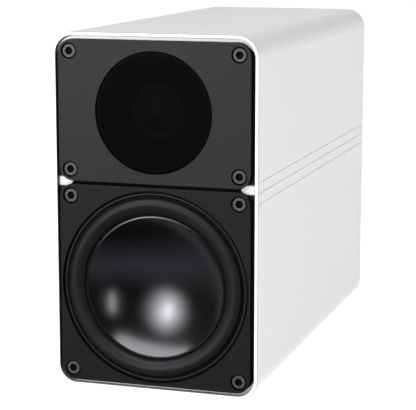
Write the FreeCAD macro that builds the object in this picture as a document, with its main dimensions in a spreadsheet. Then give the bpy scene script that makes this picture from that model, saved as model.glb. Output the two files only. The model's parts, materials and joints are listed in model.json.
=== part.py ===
"""A compact two-way bookshelf speaker as a parametric FreeCAD document.

An extruded aluminium sleeve carries a front frame, on which a tweeter plate and a square woofer frame
are screwed, and a rear frame, on which the rear panel with its port and terminal cup is screwed.

Frame: millimetres, +Z up, the front faces -Y, the origin is the centre of the footprint.
A piece at the front is drawn with local y = distance behind the front rim, and a piece at the rear
with local y = distance from the rear rim, so its Placement carries it to the rim.
"""
import FreeCAD, Part
import math
import os
import re

import Sketcher
from FreeCAD import Placement, Rotation, Vector

# Driving dimensions, in millimetres, and counts. Each one becomes a cell of the sheet.
SIZES = {
    # sleeve
    "width": 123.0, "height": 208.0, "wall": 2.2, "corner": 12.5,
    "front_rim": -135.5, "rear_rim": 138.5, "rim_round": 0.9, "rear_round": 0.6,
    "groove_z": 120.0, "groove_pitch": 6.2, "groove_half": 0.45, "groove_deep": 0.4,
    # frames bonded into the sleeve, and the plates on the front one
    "bond": 0.1, "frame_front": 3.0, "frame_thick": 11.0,
    "plate_front": -1.2, "plate_thick": 3.6, "plate_clear": 1.8, "plate_gap": 1.8,
    "woofer_high": 116.6, "plate_edge": 0.4,
    "gasket_thick": 0.6, "gasket_play": 0.15, "gasket_inset": 1.5, "strip_past": 4.5, "strip_notch": 3.0,
    # plate screws
    "screw_inset": 6.8, "head_r": 3.9, "head_high": 2.2, "head_sunk": 0.4, "counterbore_r": 4.75,
    "shank_r": 2.0, "shank_long": 11.0, "shank_play": 0.25, "tapped_play": 0.05,
    "hex_af": 4.3, "hex_deep": 1.8,
    # woofer: recess in the square frame, surround, cone
    "recess_r": 56.4, "recess_deep": 2.4, "seat_r": 50.6, "hoop_r": 52.6, "baffle_hole_r": 53.2,
    "bead_in": 53.9, "bead_out": 55.1, "bead_high": 0.7, "bead_slope": 0.3,
    "roll_in": 43.0, "roll_out": 52.4, "roll_high": 3.9, "rubber": 0.7, "roll_level": 0.9,
    "cone_r": 41.8, "cone_lip": 0.9, "cone_level": 0.2, "cone_thick": 0.5, "dish_deep": 13.0,
    # woofer basket behind the frame
    "hoop_end": 12.0, "bowl_r": 40.0, "bowl_level": 27.0, "basket_end": 38.0, "basket_wall": 2.0,
    "ledge_r": 34.5, "ledge_thick": 2.0, "rear_ring_r": 20.0, "rear_ring_thick": 2.5,
    "window_wide": 28.0, "window_start": 14.5, "window_end": 25.5, "windows": 6,
    # woofer motor
    "coil_r": 16.0, "former_thick": 0.3, "winding_thick": 0.5, "winding_long": 10.0, "former_end": 46.0,
    "gap_out": 17.0, "pole_r": 15.2, "vent_r": 4.0, "top_r": 36.0, "top_thick": 5.0,
    "magnet_in": 20.0, "magnet_out": 41.0, "magnet_thick": 14.0, "yoke_r": 38.0, "yoke_thick": 5.0,
    "can_r": 43.0, "can_wall": 1.2, "can_vent": 8.0,
    "spider_in": 16.3, "spider_out": 37.6, "spider_wave": 1.3, "spider_thick": 0.6, "spider_waves": 5,
    # tweeter: opening in the plate, mesh, waveguide, dome, motor
    "mesh_r": 34.6, "mesh_hole_r": 35.0, "mesh_ledge_r": 33.0, "mesh_level": -0.4, "mesh_thick": 0.5,
    "mesh_skirt": 1.3, "tweeter_hole_r": 39.2, "guide_r": 38.6, "guide_thick": 2.5, "guide_throat": 15.6,
    "guide_level": 8.0, "guide_back": 9.2, "guide_screw_r": 36.8,
    "dome_r": 12.6, "dome_high": 4.6, "dome_thick": 0.3, "dome_level": 9.2,
    "dome_roll_out": 15.3, "dome_seat_r": 17.5,
    "dome_roll_high": 1.1, "dome_former_end": 15.4, "dome_winding_start": 11.1,
    "dome_gap_out": 13.4, "dome_pole_r": 11.9, "spacer_in": 15.4, "dome_top_r": 30.0, "dome_top_start": 11.5,
    "dome_top_thick": 3.0, "dome_magnet_in": 16.0, "dome_magnet_out": 34.0, "dome_magnet_thick": 10.0,
    "dome_yoke_r": 30.0, "dome_yoke_thick": 4.0, "chamber_r": 22.0, "chamber_deep": 12.0, "chamber_wall": 1.5,
    "small_shank_r": 1.25, "small_head_r": 2.3, "small_head_high": 1.6,
    # rear frame and panel
    "panel_sunk": 2.4, "panel_thick": 3.0, "rear_gasket": 0.8,
    "rear_frame_thick": 4.0, "rear_frame_band": 9.5,
    "rear_frame_corner": 3.0, "rear_screw_inset": 5.0,
    # port
    "port_z": 150.0, "port_r": 17.0, "port_wall": 2.0, "port_long": 104.0,
    "flange_r": 29.0, "flange_thick": 1.2,
    "flare": 8.0, "port_play": 0.3, "inner_flare": 4.0, "throat_r": 23.0, "throat_long": 6.0,
    # terminal cup
    "cup_z": 58.0, "cup_wide": 76.0, "cup_high": 52.0, "cup_deep": 24.0, "cup_wall": 2.0, "cup_corner": 7.0,
    "cup_flange": 6.0, "cup_flange_thick": 1.4, "cup_play": 0.5, "cup_screw_x": 40.6, "cup_screw_z": 27.6,
    # binding posts, as distances behind the cup's floor
    "post_x": 9.525, "collar_r": 6.4, "collar_thick": 2.0, "spigot_r": 3.9, "spigot_play": 0.1, "stud_r": 3.0,
    "stud_play": 0.05, "shoulder_r": 5.6, "shoulder_thick": 2.0, "washer_r": 6.2, "washer_thick": 1.0,
    "knob_r": 6.6, "knob_long": 15.6, "knob_round": 0.8, "insert_r": 4.3, "flute_r": 0.8, "flutes": 16,
    "stud_end": 20.2, "stud_tail": 13.5, "banana_r": 2.0, "banana_deep": 17.0,
    "nut_af": 10.0, "nut_thick": 4.5, "tag_thick": 0.8,
    # crossover board on the cabinet floor
    "board_x": 84.0, "board_y": 72.0, "board_thick": 1.6, "board_level": 12.0, "board_mid": 56.0,
    "standoff_r": 3.2, "standoff_inset": 6.0,
    # damping foam
    "foam_thick": 9.0, "foam_start": -95.0, "foam_end": 95.0,
    "foam_low": 24.0, "foam_high": 186.0, "foam_gap": 0.3,
    # wires
    "wire_r": 1.1,
}
PLATE_W = "(width - 2*wall - 2*plate_clear)"
TWEETER_H = "(height - 2*wall - 2*plate_clear - plate_gap - woofer_high)"
WOOFER_Z = "(wall + plate_clear + woofer_high/2)"
TWEETER_Z = f"(height - wall - plate_clear - {TWEETER_H}/2)"
INNER_R = "(corner - wall)"
PLATE_R = "(corner - wall - plate_clear)"
PLATE_BACK = "(plate_front + plate_thick)"
HOLE_X = f"({PLATE_W}/2 - screw_inset)"
TWEETER_HOLE_Z = f"({TWEETER_H}/2 - screw_inset)"
WOOFER_HOLE_Z = "(woofer_high/2 - screw_inset)"
SEAT = "(plate_front + head_sunk + head_high)"
FRONT = "front_rim"
REAR = "rear_rim"

doc = FreeCAD.newDocument("BookshelfSpeaker")
sheet = doc.addObject("Spreadsheet::Sheet", "Sizes")
NODES = []  # the objects that are written as sub-parts, in order


def fill_sheet():
    for row, (name, value) in enumerate(SIZES.items(), start=1):
        sheet.set(f"A{row}", name)
        sheet.set(f"B{row}", str(value))
        sheet.setAlias(f"B{row}", name)
    doc.recompute()


def bound(text):
    """The expression with each size's name as a reference to its cell."""
    name = r"[a-z][a-z_]*"
    return re.sub(name, lambda m: "Sizes." + m.group() if m.group() in SIZES else m.group(), str(text))


def number(text):
    """What an expression comes to now, in millimetres."""
    found = sheet.evalExpression(bound(text))
    return float(getattr(found, "Value", found))


def bind(thing, path, text):
    thing.setExpression(path, bound(text))


def move(thing, at):
    for axis, text in zip("xyz", at):
        bind(thing, f"Placement.Base.{axis}", text)


def new_body(name, at, kept=True):
    body = doc.addObject("PartDesign::Body", name)
    body.Label = name
    move(body, at)
    if kept:
        NODES.append(body)
    return body


def new_sketch(body, plane, level="0"):
    """A sketch on one of the body's own origin planes. On XZ, level is the local y that it lies at."""
    sketch = body.newObject("Sketcher::SketchObject", f"{body.Name}_sketch")
    support = next(f for f in body.Origin.OriginFeatures if f.Role == plane)
    sketch.AttachmentSupport = [(support, "")]
    sketch.MapMode = "FlatFace"
    sign = "-1" if plane == "XZ_Plane" else "1"
    bind(sketch, "AttachmentOffset.Base.z", f"{sign} * ({level})")
    return sketch


def hold_point(rules, texts, geometry, place, spot):
    """Two constraints that hold a point at its coordinates, each with the expression that drives it."""
    for kind, text in zip(("DistanceX", "DistanceY"), spot):
        rules.append(Sketcher.Constraint(kind, -1, 1, geometry, place, number(text)))
        texts.append(text)


def constrain(sketch, rules, texts):
    first = sketch.ConstraintCount
    sketch.addConstraint(rules)
    for i, text in enumerate(texts):
        if text is not None:
            bind(sketch, f"Constraints[{first + i}]", text)


def arc_between(start, end, radius, turn):
    """A Part arc from start to end, and which of its ends is the start. turn is 1 for anticlockwise."""
    half = (end - start) / 2
    rise = math.sqrt(max(radius**2 - half.Length**2, 0.0))
    side = Vector(-half.y, half.x, 0).normalize() * turn
    centre = start + half + side * rise
    a, b = (math.atan2(p.y - centre.y, p.x - centre.x) for p in (start, end))
    circle = Part.Circle(centre, Vector(0, 0, 1), radius)
    if turn > 0:
        return Part.ArcOfCircle(circle, a, b if b > a else b + 2 * math.pi), 1
    return Part.ArcOfCircle(circle, b, a if a > b else a + 2 * math.pi), 2


def outline(sketch, corners):
    """A closed outline. A corner is (x, y), or (x, y, radius, turn) for an arc under 180 degrees to it."""
    spots = [Vector(number(c[0]), number(c[1]), 0) for c in corners]
    base = sketch.GeometryCount
    rules, texts, ends = [], [], []
    for i, corner in enumerate(corners):
        start, end = spots[i - 1], spots[i]
        if len(corner) == 4:
            shape, first = arc_between(start, end, number(corner[2]), corner[3])
        else:
            shape, first = Part.LineSegment(start, end), 1
        sketch.addGeometry(shape, False)
        ends.append((first, 3 - first))
    count = len(corners)
    for i, corner in enumerate(corners):
        after = (i + 1) % count
        rules.append(Sketcher.Constraint("Coincident", base + i, ends[i][1], base + after, ends[after][0]))
        texts.append(None)
        hold_point(rules, texts, base + i, ends[i][1], corner[:2])
        if len(corner) == 4:
            rules.append(Sketcher.Constraint("Radius", base + i, number(corner[2])))
            texts.append(corner[2])
    constrain(sketch, rules, texts)


def circles(sketch, spots, radius):
    rules, texts = [], []
    for spot in spots:
        centre = Vector(number(spot[0]), number(spot[1]), 0)
        i = sketch.addGeometry(Part.Circle(centre, Vector(0, 0, 1), number(radius)), False)
        hold_point(rules, texts, i, 3, spot)
        rules.append(Sketcher.Constraint("Radius", i, number(radius)))
        texts.append(radius)
    constrain(sketch, rules, texts)


def rounded(sketch, wide, high, radius, x="0", y="0"):
    """A rounded rectangle about (x, y)."""
    w, h, r = f"({wide})/2", f"({high})/2", f"({radius})"
    outline(sketch, [
        (f"{x} + {w} - {r}", f"{y} - {h}"), (f"{x} + {w}", f"{y} - {h} + {r}", r, 1),
        (f"{x} + {w}", f"{y} + {h} - {r}"), (f"{x} + {w} - {r}", f"{y} + {h}", r, 1),
        (f"{x} - {w} + {r}", f"{y} + {h}"), (f"{x} - {w}", f"{y} + {h} - {r}", r, 1),
        (f"{x} - {w}", f"{y} - {h} + {r}"), (f"{x} - {w} + {r}", f"{y} - {h}", r, 1),
    ])


def rectangle(sketch, wide, high, x="0", y="0"):
    w, h = f"({wide})/2", f"({high})/2"
    outline(sketch, [(f"{x} + {w}", f"{y} - {h}"), (f"{x} + {w}", f"{y} + {h}"),
                     (f"{x} - {w}", f"{y} + {h}"), (f"{x} - {w}", f"{y} - {h}")])


def pad(body, sketch, length):
    """Pads towards +Y from a sketch on XZ, and towards +Z from one on XY."""
    feature = body.newObject("PartDesign::Pad", f"{body.Name}_pad")
    feature.Profile = sketch
    bind(feature, "Length", length)
    feature.Reversed = sketch.AttachmentSupport[0][0].Role == "XZ_Plane"
    return feature


def pocket(body, sketch, length=None):
    """Cuts towards +Y from a sketch on XZ, through everything if no length is given."""
    before = body.Shape.Volume if body.Shape else 0
    feature = body.newObject("PartDesign::Pocket", f"{body.Name}_pocket")
    feature.Profile = sketch
    if length is None:
        feature.Type = "ThroughAll"
    else:
        bind(feature, "Length", length)
    return check_cut(body, feature, before)


def check_cut(body, feature, before):
    doc.recompute()
    if before and body.Shape.Volume > before - 1e-6:
        raise RuntimeError(f"{feature.Name} cuts nothing")
    return feature


def revolve(body, sketch):
    """Turns a sketch on XY about the local Y axis."""
    feature = body.newObject("PartDesign::Revolution", f"{body.Name}_turned")
    feature.Profile = sketch
    feature.ReferenceAxis = (sketch, ["V_Axis"])
    feature.Angle = 360
    return feature


def dress(body, kind, size, chosen):
    """A Fillet or Chamfer on the edges of the body's tip that chosen accepts."""
    doc.recompute()
    base = body.Tip
    names = [f"Edge{i}" for i, e in enumerate(base.Shape.Edges, start=1) if chosen(e)]
    if not names:
        raise RuntimeError(f"{body.Label}: no edge to dress")
    feature = body.newObject(f"PartDesign::{kind}", f"{body.Name}_{kind.lower()}")
    feature.Base = (base, names)
    bind(feature, "Radius" if kind == "Fillet" else "Size", size)
    doc.recompute()
    return feature


def at_level(edge, level):
    """Whether an edge lies in the local plane y = level."""
    box = edge.BoundBox
    return abs(box.YMin - level) < 1e-4 and abs(box.YMax - level) < 1e-4


def turned(name, corners, at, kept=True):
    body = new_body(name, at, kept)
    sketch = new_sketch(body, "XY_Plane")
    outline(sketch, corners)
    revolve(body, sketch)
    return body


def ring(name, inner, outer, start, end, at, kept=True):
    """A plain ring, or a disc where inner is 0, between two local levels."""
    return turned(name, [(inner, start), (outer, start), (outer, end), (inner, end)], at, kept)


def drill(body, spots, radius, level, length=None):
    sketch = new_sketch(body, "XZ_Plane", level)
    circles(sketch, spots, radius)
    return pocket(body, sketch, length)


def corners_of(x, z, mid="0"):
    return [(f"{sx}*{x}", f"{mid} + {sz}*{z}") for sx in (1, -1) for sz in (1, -1)]


def copies(name, master, places):
    """One node of separate solids: links to a master at each (x, y, z), held in a compound."""
    links = []
    for i, at in enumerate(places):
        link = doc.addObject("App::Link", f"{name}_{i + 1}")
        link.LinkedObject = master
        link.LinkTransform = False
        move(link, at)
        links.append(link)
    group = doc.addObject("Part::Compound", name)
    group.Label = name
    group.Links = links
    NODES.append(group)
    return group


# ---------------------------------------------------------------- cabinet


def make_sleeve():
    """The extruded shell: open at both ends, its edges rounded, with three fine grooves along each side."""
    body = new_body("cabinet_sleeve", ("0", FRONT, "0"))
    outer = new_sketch(body, "XZ_Plane")
    rounded(outer, "width", "height", "corner", y="height/2")
    pad(body, outer, "rear_rim - front_rim")
    doc.recompute()
    inner = new_sketch(body, "XZ_Plane")
    rounded(inner, "width - 2*wall", "height - 2*wall", INNER_R, y="height/2")
    pocket(body, inner)
    length = number("rear_rim - front_rim")
    dress(body, "Fillet", "rim_round", lambda e: at_level(e, 0))
    dress(body, "Fillet", "rear_round", lambda e: at_level(e, length))
    grooves = new_sketch(body, "XZ_Plane")
    for side in (1, -1):
        for step in (-1, 0, 1):
            z = f"groove_z + {step}*groove_pitch"
            lip = f"{side}*(width/2 + 0.1)"
            outline(grooves, [(lip, f"{z} - groove_half"), (lip, f"{z} + groove_half"),
                              (f"{side}*(width/2 - groove_deep)", z)])
    pocket(body, grooves)


def frame_body(name, level, thick, at):
    """A rounded plate that fills the sleeve's opening, to be cut out."""
    body = new_body(name, at)
    sketch = new_sketch(body, "XZ_Plane", level)
    wide, tall = "width - 2*wall - 2*bond", "height - 2*wall - 2*bond"
    rounded(sketch, wide, tall, f"({INNER_R} - bond)", y="height/2")
    pad(body, sketch, thick)
    doc.recompute()
    return body


def make_front_frame():
    """The bright frame behind the plates. The plate screws are tapped into it."""
    body = frame_body("front_frame", "frame_front", "frame_thick", ("0", FRONT, "0"))
    drill(body, [("0", WOOFER_Z)], "baffle_hole_r", "frame_front")
    drill(body, [("0", TWEETER_Z)], "tweeter_hole_r", "frame_front")
    holes = corners_of(HOLE_X, WOOFER_HOLE_Z, WOOFER_Z) + corners_of(HOLE_X, TWEETER_HOLE_Z, TWEETER_Z)
    drill(body, holes, "shank_r + tapped_play", "frame_front")


def make_plate_gasket(name, high, mid, hole_r, hole_z):
    """A thin foam seal between a plate and the front frame. It shows in the gaps at the plate's sides."""
    body = new_body(name, ("0", FRONT, mid))
    sketch = new_sketch(body, "XZ_Plane", PLATE_BACK)
    rounded(sketch, f"{PLATE_W} + 2*(plate_clear - gasket_play)", f"{high} - 2*gasket_inset", PLATE_R)
    pad(body, sketch, "gasket_thick")
    doc.recompute()
    drill(body, [("0", "0")], hole_r, PLATE_BACK)
    drill(body, corners_of(HOLE_X, hole_z), "shank_r + shank_play", PLATE_BACK)
    return body


def add_gap_strip(body):
    """The tongue of black foam that closes the gap between the two plates. Its ends are notched."""
    sketch = new_sketch(body, "XZ_Plane", PLATE_BACK)
    low = "(woofer_high/2 - gasket_inset - 1)"
    top = "(woofer_high/2 + plate_gap + gasket_inset - 0.2)"
    mid = "(woofer_high/2 + plate_gap/2)"
    wide = f"({PLATE_W}/2 - {PLATE_R} + strip_past)"
    notch = f"({wide} - strip_notch)"
    right = [(wide, low), (notch, mid), (wide, top)]
    outline(sketch, right + [(f"-{x}", z) for x, z in reversed(right)])
    pad(body, sketch, "gasket_thick")


def screw_holes(body, hole_z):
    """Counterbored holes in a front plate."""
    spots = corners_of(HOLE_X, hole_z)
    drill(body, spots, "counterbore_r", "plate_front", f"{SEAT} - plate_front")
    drill(body, spots, "shank_r + shank_play", "plate_front")


def make_tweeter_plate():
    body = new_body("tweeter_plate", ("0", FRONT, TWEETER_Z))
    sketch = new_sketch(body, "XZ_Plane", "plate_front")
    rounded(sketch, PLATE_W, TWEETER_H, PLATE_R)
    pad(body, sketch, "plate_thick")
    dress(body, "Fillet", "plate_edge", lambda e: at_level(e, SIZES["plate_front"]))
    drill(body, [("0", "0")], "mesh_hole_r", "plate_front", "mesh_level + mesh_skirt - plate_front")
    drill(body, [("0", "0")], "mesh_ledge_r", "plate_front")
    drill(body, guide_screws(), "small_shank_r + tapped_play", "mesh_level + mesh_skirt - 0.3")
    screw_holes(body, TWEETER_HOLE_Z)


def guide_screws():
    reach = "guide_screw_r * 0.70710678"
    return corners_of(reach, reach)


def make_plate_screws():
    """Eight hexagon-socket screws. The thread is drawn as a plain shank."""
    head, depth = "head_r", "hex_deep"
    master = turned("plate_screw", [
        ("0", "0"), (f"{head} - 0.35", "0"), (head, "0.35"), (head, "head_high"), ("shank_r", "head_high"),
        ("shank_r", "head_high + shank_long - 0.8"), ("shank_r - 0.6", "head_high + shank_long"),
        ("0", "head_high + shank_long")], ("0", "0", "0"), kept=False)
    doc.recompute()
    sketch = new_sketch(master, "XZ_Plane", "0")
    outline(sketch, [(f"hex_af * {math.cos(math.radians(a)) / math.sqrt(3):.6f}",
                      f"hex_af * {math.sin(math.radians(a)) / math.sqrt(3):.6f}") for a in range(0, 360, 60)])
    pocket(master, sketch, depth)
    level = f"{FRONT} + plate_front + head_sunk"
    spots = corners_of(HOLE_X, TWEETER_HOLE_Z, TWEETER_Z) + corners_of(HOLE_X, WOOFER_HOLE_Z, WOOFER_Z)
    copies("plate_screws", master, [(x, level, z) for x, z in spots])


# ---------------------------------------------------------------- woofer

WOOFER = ("0", FRONT, WOOFER_Z)
DISH_R = "(((cone_r - cone_lip)^2 + dish_deep^2) / (2*dish_deep))"


def make_woofer_frame():
    """A nearly square flange with a round recess, and the cast basket behind it with six windows."""
    body = new_body("woofer_frame", WOOFER)
    flange = new_sketch(body, "XZ_Plane", "plate_front")
    rounded(flange, PLATE_W, "woofer_high", PLATE_R)
    pad(body, flange, "plate_thick")
    dress(body, "Fillet", "plate_edge", lambda e: at_level(e, SIZES["plate_front"]))
    floor = "plate_front + recess_deep"
    drill(body, [("0", "0")], "recess_r", "plate_front", "recess_deep")
    drill(body, [("0", "0")], "seat_r", "plate_front")
    bowl = new_sketch(body, "XY_Plane")
    inner = "(bowl_r - basket_wall)"
    outline(bowl, [
        ("seat_r", floor), ("seat_r", "hoop_end - basket_wall/2"), (inner, "bowl_level - basket_wall/2"),
        (inner, "bowl_level"), ("ledge_r", "bowl_level"), ("ledge_r", "bowl_level + ledge_thick"),
        (inner, "bowl_level + ledge_thick"), (inner, "basket_end - rear_ring_thick"),
        ("rear_ring_r", "basket_end - rear_ring_thick"), ("rear_ring_r", "basket_end"),
        ("bowl_r", "basket_end"),
        ("bowl_r", "bowl_level"), ("hoop_r", "hoop_end"), ("hoop_r", floor)])
    revolve(body, bowl)
    doc.recompute()
    window = new_sketch(body, "XY_Plane", "rear_ring_r")
    rectangle(window, "window_wide", "window_end - window_start", y="(window_start + window_end)/2")
    before = body.Shape.Volume
    cut = body.newObject("PartDesign::Pocket", "window_cut")
    cut.Profile = window
    cut.Reversed = True
    bind(cut, "Length", "width/2")
    check_cut(body, cut, before)
    before = body.Shape.Volume
    pattern = body.newObject("PartDesign::PolarPattern", "windows")
    pattern.Originals = [cut]
    pattern.Axis = (next(f for f in body.Origin.OriginFeatures if f.Role == "Y_Axis"), [""])
    pattern.Angle = 360
    bind(pattern, "Occurrences", "windows")
    body.Tip = pattern
    check_cut(body, pattern, before)
    screw_holes(body, WOOFER_HOLE_Z)


def make_surround():
    """The half-roll rubber surround, from the cone's edge to the recess."""
    low, front = "roll_level + rubber", "roll_level"
    seat = "plate_front + recess_deep"
    half = "((roll_out - roll_in)/2)"
    outer = f"(({half}^2 + roll_high^2) / (2*roll_high))"
    inner = f"((({half} - rubber)^2 + (roll_high - rubber)^2) / (2*(roll_high - rubber)))"
    turned("woofer_surround", [
        ("cone_r - cone_lip + 0.1", front), ("roll_in", front), ("roll_out", front, outer, 1),
        ("roll_out", f"{seat} - 0.8"), ("recess_r - 0.4", f"{seat} - 0.8"), ("recess_r - 0.4", seat),
        ("roll_out - rubber", seat), ("roll_out - rubber", front), ("roll_in + rubber", front, inner, -1),
        ("roll_in + rubber", low), ("cone_r - cone_lip + 0.1", low)], WOOFER)


def make_trim_bead():
    """The thin bead that clamps the surround's edge in the recess."""
    foot = "plate_front + recess_deep - 0.8"
    top = f"{foot} - bead_high"
    turned("surround_bead", [
        ("bead_in", foot), ("bead_in", f"{top} + bead_slope"), ("bead_in + bead_slope", top),
        ("bead_out - bead_slope", top), ("bead_out", f"{top} + bead_slope"), ("bead_out", foot)], WOOFER)


def make_cone():
    """The seamless concave cone: a flat lip and a spherical dish, one skin thick."""
    edge = "cone_r - cone_lip"
    bottom = "cone_level + dish_deep"
    body = new_body("woofer_cone", WOOFER)
    sketch = new_sketch(body, "XY_Plane")
    outline(sketch, [
        (edge, "cone_level", DISH_R, -1), ("cone_r", "cone_level"), ("cone_r", "cone_level + cone_thick"),
        (edge, "cone_level + cone_thick"), ("0", f"{bottom} + cone_thick", DISH_R, 1), ("0", bottom)])
    revolve(body, sketch)


def make_voice_coil():
    start = f"(cone_level + cone_thick + dish_deep - ({DISH_R} - sqrt({DISH_R}^2 - coil_r^2)) + 0.05)"
    ring("woofer_former", "coil_r - former_thick", "coil_r", start, "former_end", WOOFER)
    middle = "(basket_end + top_thick/2)"
    ring("woofer_winding", "coil_r", "coil_r + winding_thick", f"{middle} - winding_long/2",
         f"{middle} + winding_long/2", WOOFER)


def make_spider():
    """The corrugated centring disc between the voice coil and the basket's ledge."""
    level = "(bowl_level - spider_thick)"
    steps = 2 * int(SIZES["spider_waves"])
    flat = "(spider_out - ledge_r + 0.5)"
    front = [("spider_in", level)]
    for i in range(steps + 1):
        r = f"(spider_in + 1.5 + (spider_out - {flat} - spider_in - 1.5) * {i}/{steps})"
        rise = "0" if i in (0, steps) else ("spider_wave" if i % 2 else "-1*spider_wave")
        front.append((r, f"{level} - {rise}"))
    front.append(("spider_out", level))
    back = [(r, f"{y} + spider_thick") for r, y in reversed(front)]
    turned("woofer_spider", front + back, WOOFER)


def make_woofer_motor():
    top = "(basket_end + top_thick)"
    back = f"({top} + magnet_thick)"
    end = f"({back} + yoke_thick)"
    ring("woofer_top_plate", "gap_out", "top_r", "basket_end", top, WOOFER)
    ring("woofer_magnet", "magnet_in", "magnet_out", top, back, WOOFER)
    turned("woofer_pole_yoke", [("vent_r", "basket_end"), ("pole_r", "basket_end"), ("pole_r", back),
                                ("yoke_r", back), ("yoke_r", end), ("vent_r", end)], WOOFER)
    inside = "(can_r - can_wall)"
    turned("woofer_magnet_can", [(inside, f"{top} + 1"), ("can_r", f"{top} + 1"),
                                 ("can_r", f"{end} + can_wall"),
                                 ("can_vent", f"{end} + can_wall"), ("can_vent", end), (inside, end)], WOOFER)


# ---------------------------------------------------------------- tweeter

TWEETER = ("0", FRONT, TWEETER_Z)


def make_mesh():
    """The round mesh cover as one closed cup: a disc with a turned-back skirt."""
    turned("tweeter_mesh", [
        ("0", "mesh_level"), ("mesh_r", "mesh_level"), ("mesh_r", "mesh_level + mesh_skirt"),
        ("mesh_r - mesh_thick", "mesh_level + mesh_skirt"),
        ("mesh_r - mesh_thick", "mesh_level + mesh_thick"),
        ("0", "mesh_level + mesh_thick")], TWEETER)


def make_waveguide():
    body = turned("tweeter_waveguide", [
        ("mesh_ledge_r - 0.5", PLATE_BACK), ("guide_r", PLATE_BACK),
        ("guide_r", f"{PLATE_BACK} + guide_thick"),
        ("mesh_ledge_r + 0.5", f"{PLATE_BACK} + guide_thick"), ("dome_top_r - 2", "guide_back"),
        ("guide_throat", "guide_back"), ("guide_throat", "guide_level")], TWEETER)
    doc.recompute()
    drill(body, guide_screws(), "small_shank_r + tapped_play", PLATE_BACK)
    master = turned("guide_screw", [
        ("0", "0"), ("small_shank_r", "0"), ("small_shank_r", "guide_thick + 1.2"),
        ("small_head_r", "guide_thick + 1.2"), ("small_head_r", "guide_thick + 1.2 + small_head_high - 0.5"),
        ("small_head_r - 0.7", "guide_thick + 1.2 + small_head_high"),
        ("0", "guide_thick + 1.2 + small_head_high")], ("0", "0", "0"), kept=False)
    copies("waveguide_screws", master,
           [(x, f"{FRONT} + {PLATE_BACK} - 1.2", f"{TWEETER_Z} + {z}") for x, z in guide_screws()])


def make_dome():
    """The fabric dome, its roll, and the voice coil."""
    shell = "((dome_r^2 + dome_high^2) / (2*dome_high))"
    top = "dome_level - dome_high"
    body = new_body("tweeter_dome", TWEETER)
    sketch = new_sketch(body, "XY_Plane")
    outline(sketch, [("dome_r", "dome_level", shell, 1), ("dome_r - 0.3", "dome_level + dome_thick"),
                     ("0", f"{top} + dome_thick", shell, -1), ("0", top)])
    revolve(body, sketch)
    half = "((dome_roll_out - dome_r - 0.8)/2)"
    arch = f"(({half}^2 + dome_roll_high^2) / (2*dome_roll_high))"
    inner, outer = "(dome_r + 0.2)", "(dome_roll_out - 0.6)"
    turned("tweeter_surround", [
        (inner, "dome_level"), (outer, "dome_level", arch, 1), ("dome_seat_r", "dome_level"),
        ("dome_seat_r", "dome_level + dome_thick"), (outer, "dome_level + dome_thick"),
        (inner, "dome_level + dome_thick", arch, -1)], TWEETER)
    ring("tweeter_former", "dome_r - 0.25", "dome_r", "dome_level + dome_thick + 0.05",
         "dome_former_end", TWEETER)
    ring("tweeter_winding", "dome_r", "dome_r + 0.35", "dome_winding_start", "dome_former_end - 0.3", TWEETER)


def make_tweeter_motor():
    top = "(dome_top_start + dome_top_thick)"
    back = f"({top} + dome_magnet_thick)"
    end = f"({back} + dome_yoke_thick)"
    ring("tweeter_spacer", "spacer_in", "dome_top_r - 2", "guide_back + dome_thick",
         "dome_top_start", TWEETER)
    ring("tweeter_top_plate", "dome_gap_out", "dome_top_r", "dome_top_start", top, TWEETER)
    ring("tweeter_magnet", "dome_magnet_in", "dome_magnet_out", top, back, TWEETER)
    turned("tweeter_pole_yoke", [("vent_r", "dome_top_start"), ("dome_pole_r", "dome_top_start"),
                                 ("dome_pole_r", back), ("dome_yoke_r", back), ("dome_yoke_r", end),
                                 ("vent_r", end)], TWEETER)
    inside = "(chamber_r - chamber_wall)"
    turned("tweeter_rear_chamber", [
        (inside, end), ("chamber_r", end), ("chamber_r", f"{end} + chamber_deep"),
        ("0", f"{end} + chamber_deep"),
        ("0", f"{end} + chamber_deep - chamber_wall"),
        (inside, f"{end} + chamber_deep - chamber_wall")], TWEETER)


# ---------------------------------------------------------------- rear

PANEL_OUT = "(-1*panel_sunk)"
PANEL_IN = "(-1*panel_sunk - panel_thick)"
FLANGE_OUT = "(-1*panel_sunk + cup_flange_thick)"
REAR_HOLE_X = "(width/2 - wall - rear_screw_inset)"
REAR_HOLE_Z = "(height/2 - wall - rear_screw_inset)"


def rear_holes():
    middles = [(f"{s}*{REAR_HOLE_X}", "height/2") for s in (1, -1)]
    return corners_of(REAR_HOLE_X, REAR_HOLE_Z, "height/2") + middles


def cut_band(body, level, band, radius):
    sketch = new_sketch(body, "XZ_Plane", level)
    rounded(sketch, f"width - 2*wall - 2*{band}", f"height - 2*wall - 2*{band}", radius, y="height/2")
    pocket(body, sketch)


def make_rear_frame():
    start = f"{PANEL_IN} - rear_gasket - rear_frame_thick"
    frame = frame_body("rear_frame", start, "rear_frame_thick", ("0", REAR, "0"))
    cut_band(frame, start, "rear_frame_band", "rear_frame_corner")
    drill(frame, rear_holes(), "small_shank_r + tapped_play", start)
    seal = frame_body("rear_gasket", f"{PANEL_IN} - rear_gasket", "rear_gasket", ("0", REAR, "0"))
    cut_band(seal, f"{PANEL_IN} - rear_gasket", "rear_frame_band", "rear_frame_corner")
    drill(seal, rear_holes(), "small_shank_r + shank_play", f"{PANEL_IN} - rear_gasket")


def make_rear_panel():
    body = frame_body("rear_panel", PANEL_IN, "panel_thick", ("0", REAR, "0"))
    drill(body, rear_holes(), "small_shank_r + shank_play", PANEL_IN)
    drill(body, [("0", "port_z")], "throat_r + port_play", PANEL_IN)
    cut = new_sketch(body, "XZ_Plane", PANEL_IN)
    rounded(cut, "cup_wide + 2*cup_play", "cup_high + 2*cup_play", "cup_corner + cup_play", y="cup_z")
    pocket(body, cut)
    drill(body, cup_screws("cup_z"), "small_shank_r + tapped_play", PANEL_IN)
    pan = rear_screw("rear_panel_screw")
    copies("rear_panel_screws", pan, [(x, f"{REAR} + {PANEL_OUT}", z) for x, z in rear_holes()])


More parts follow.
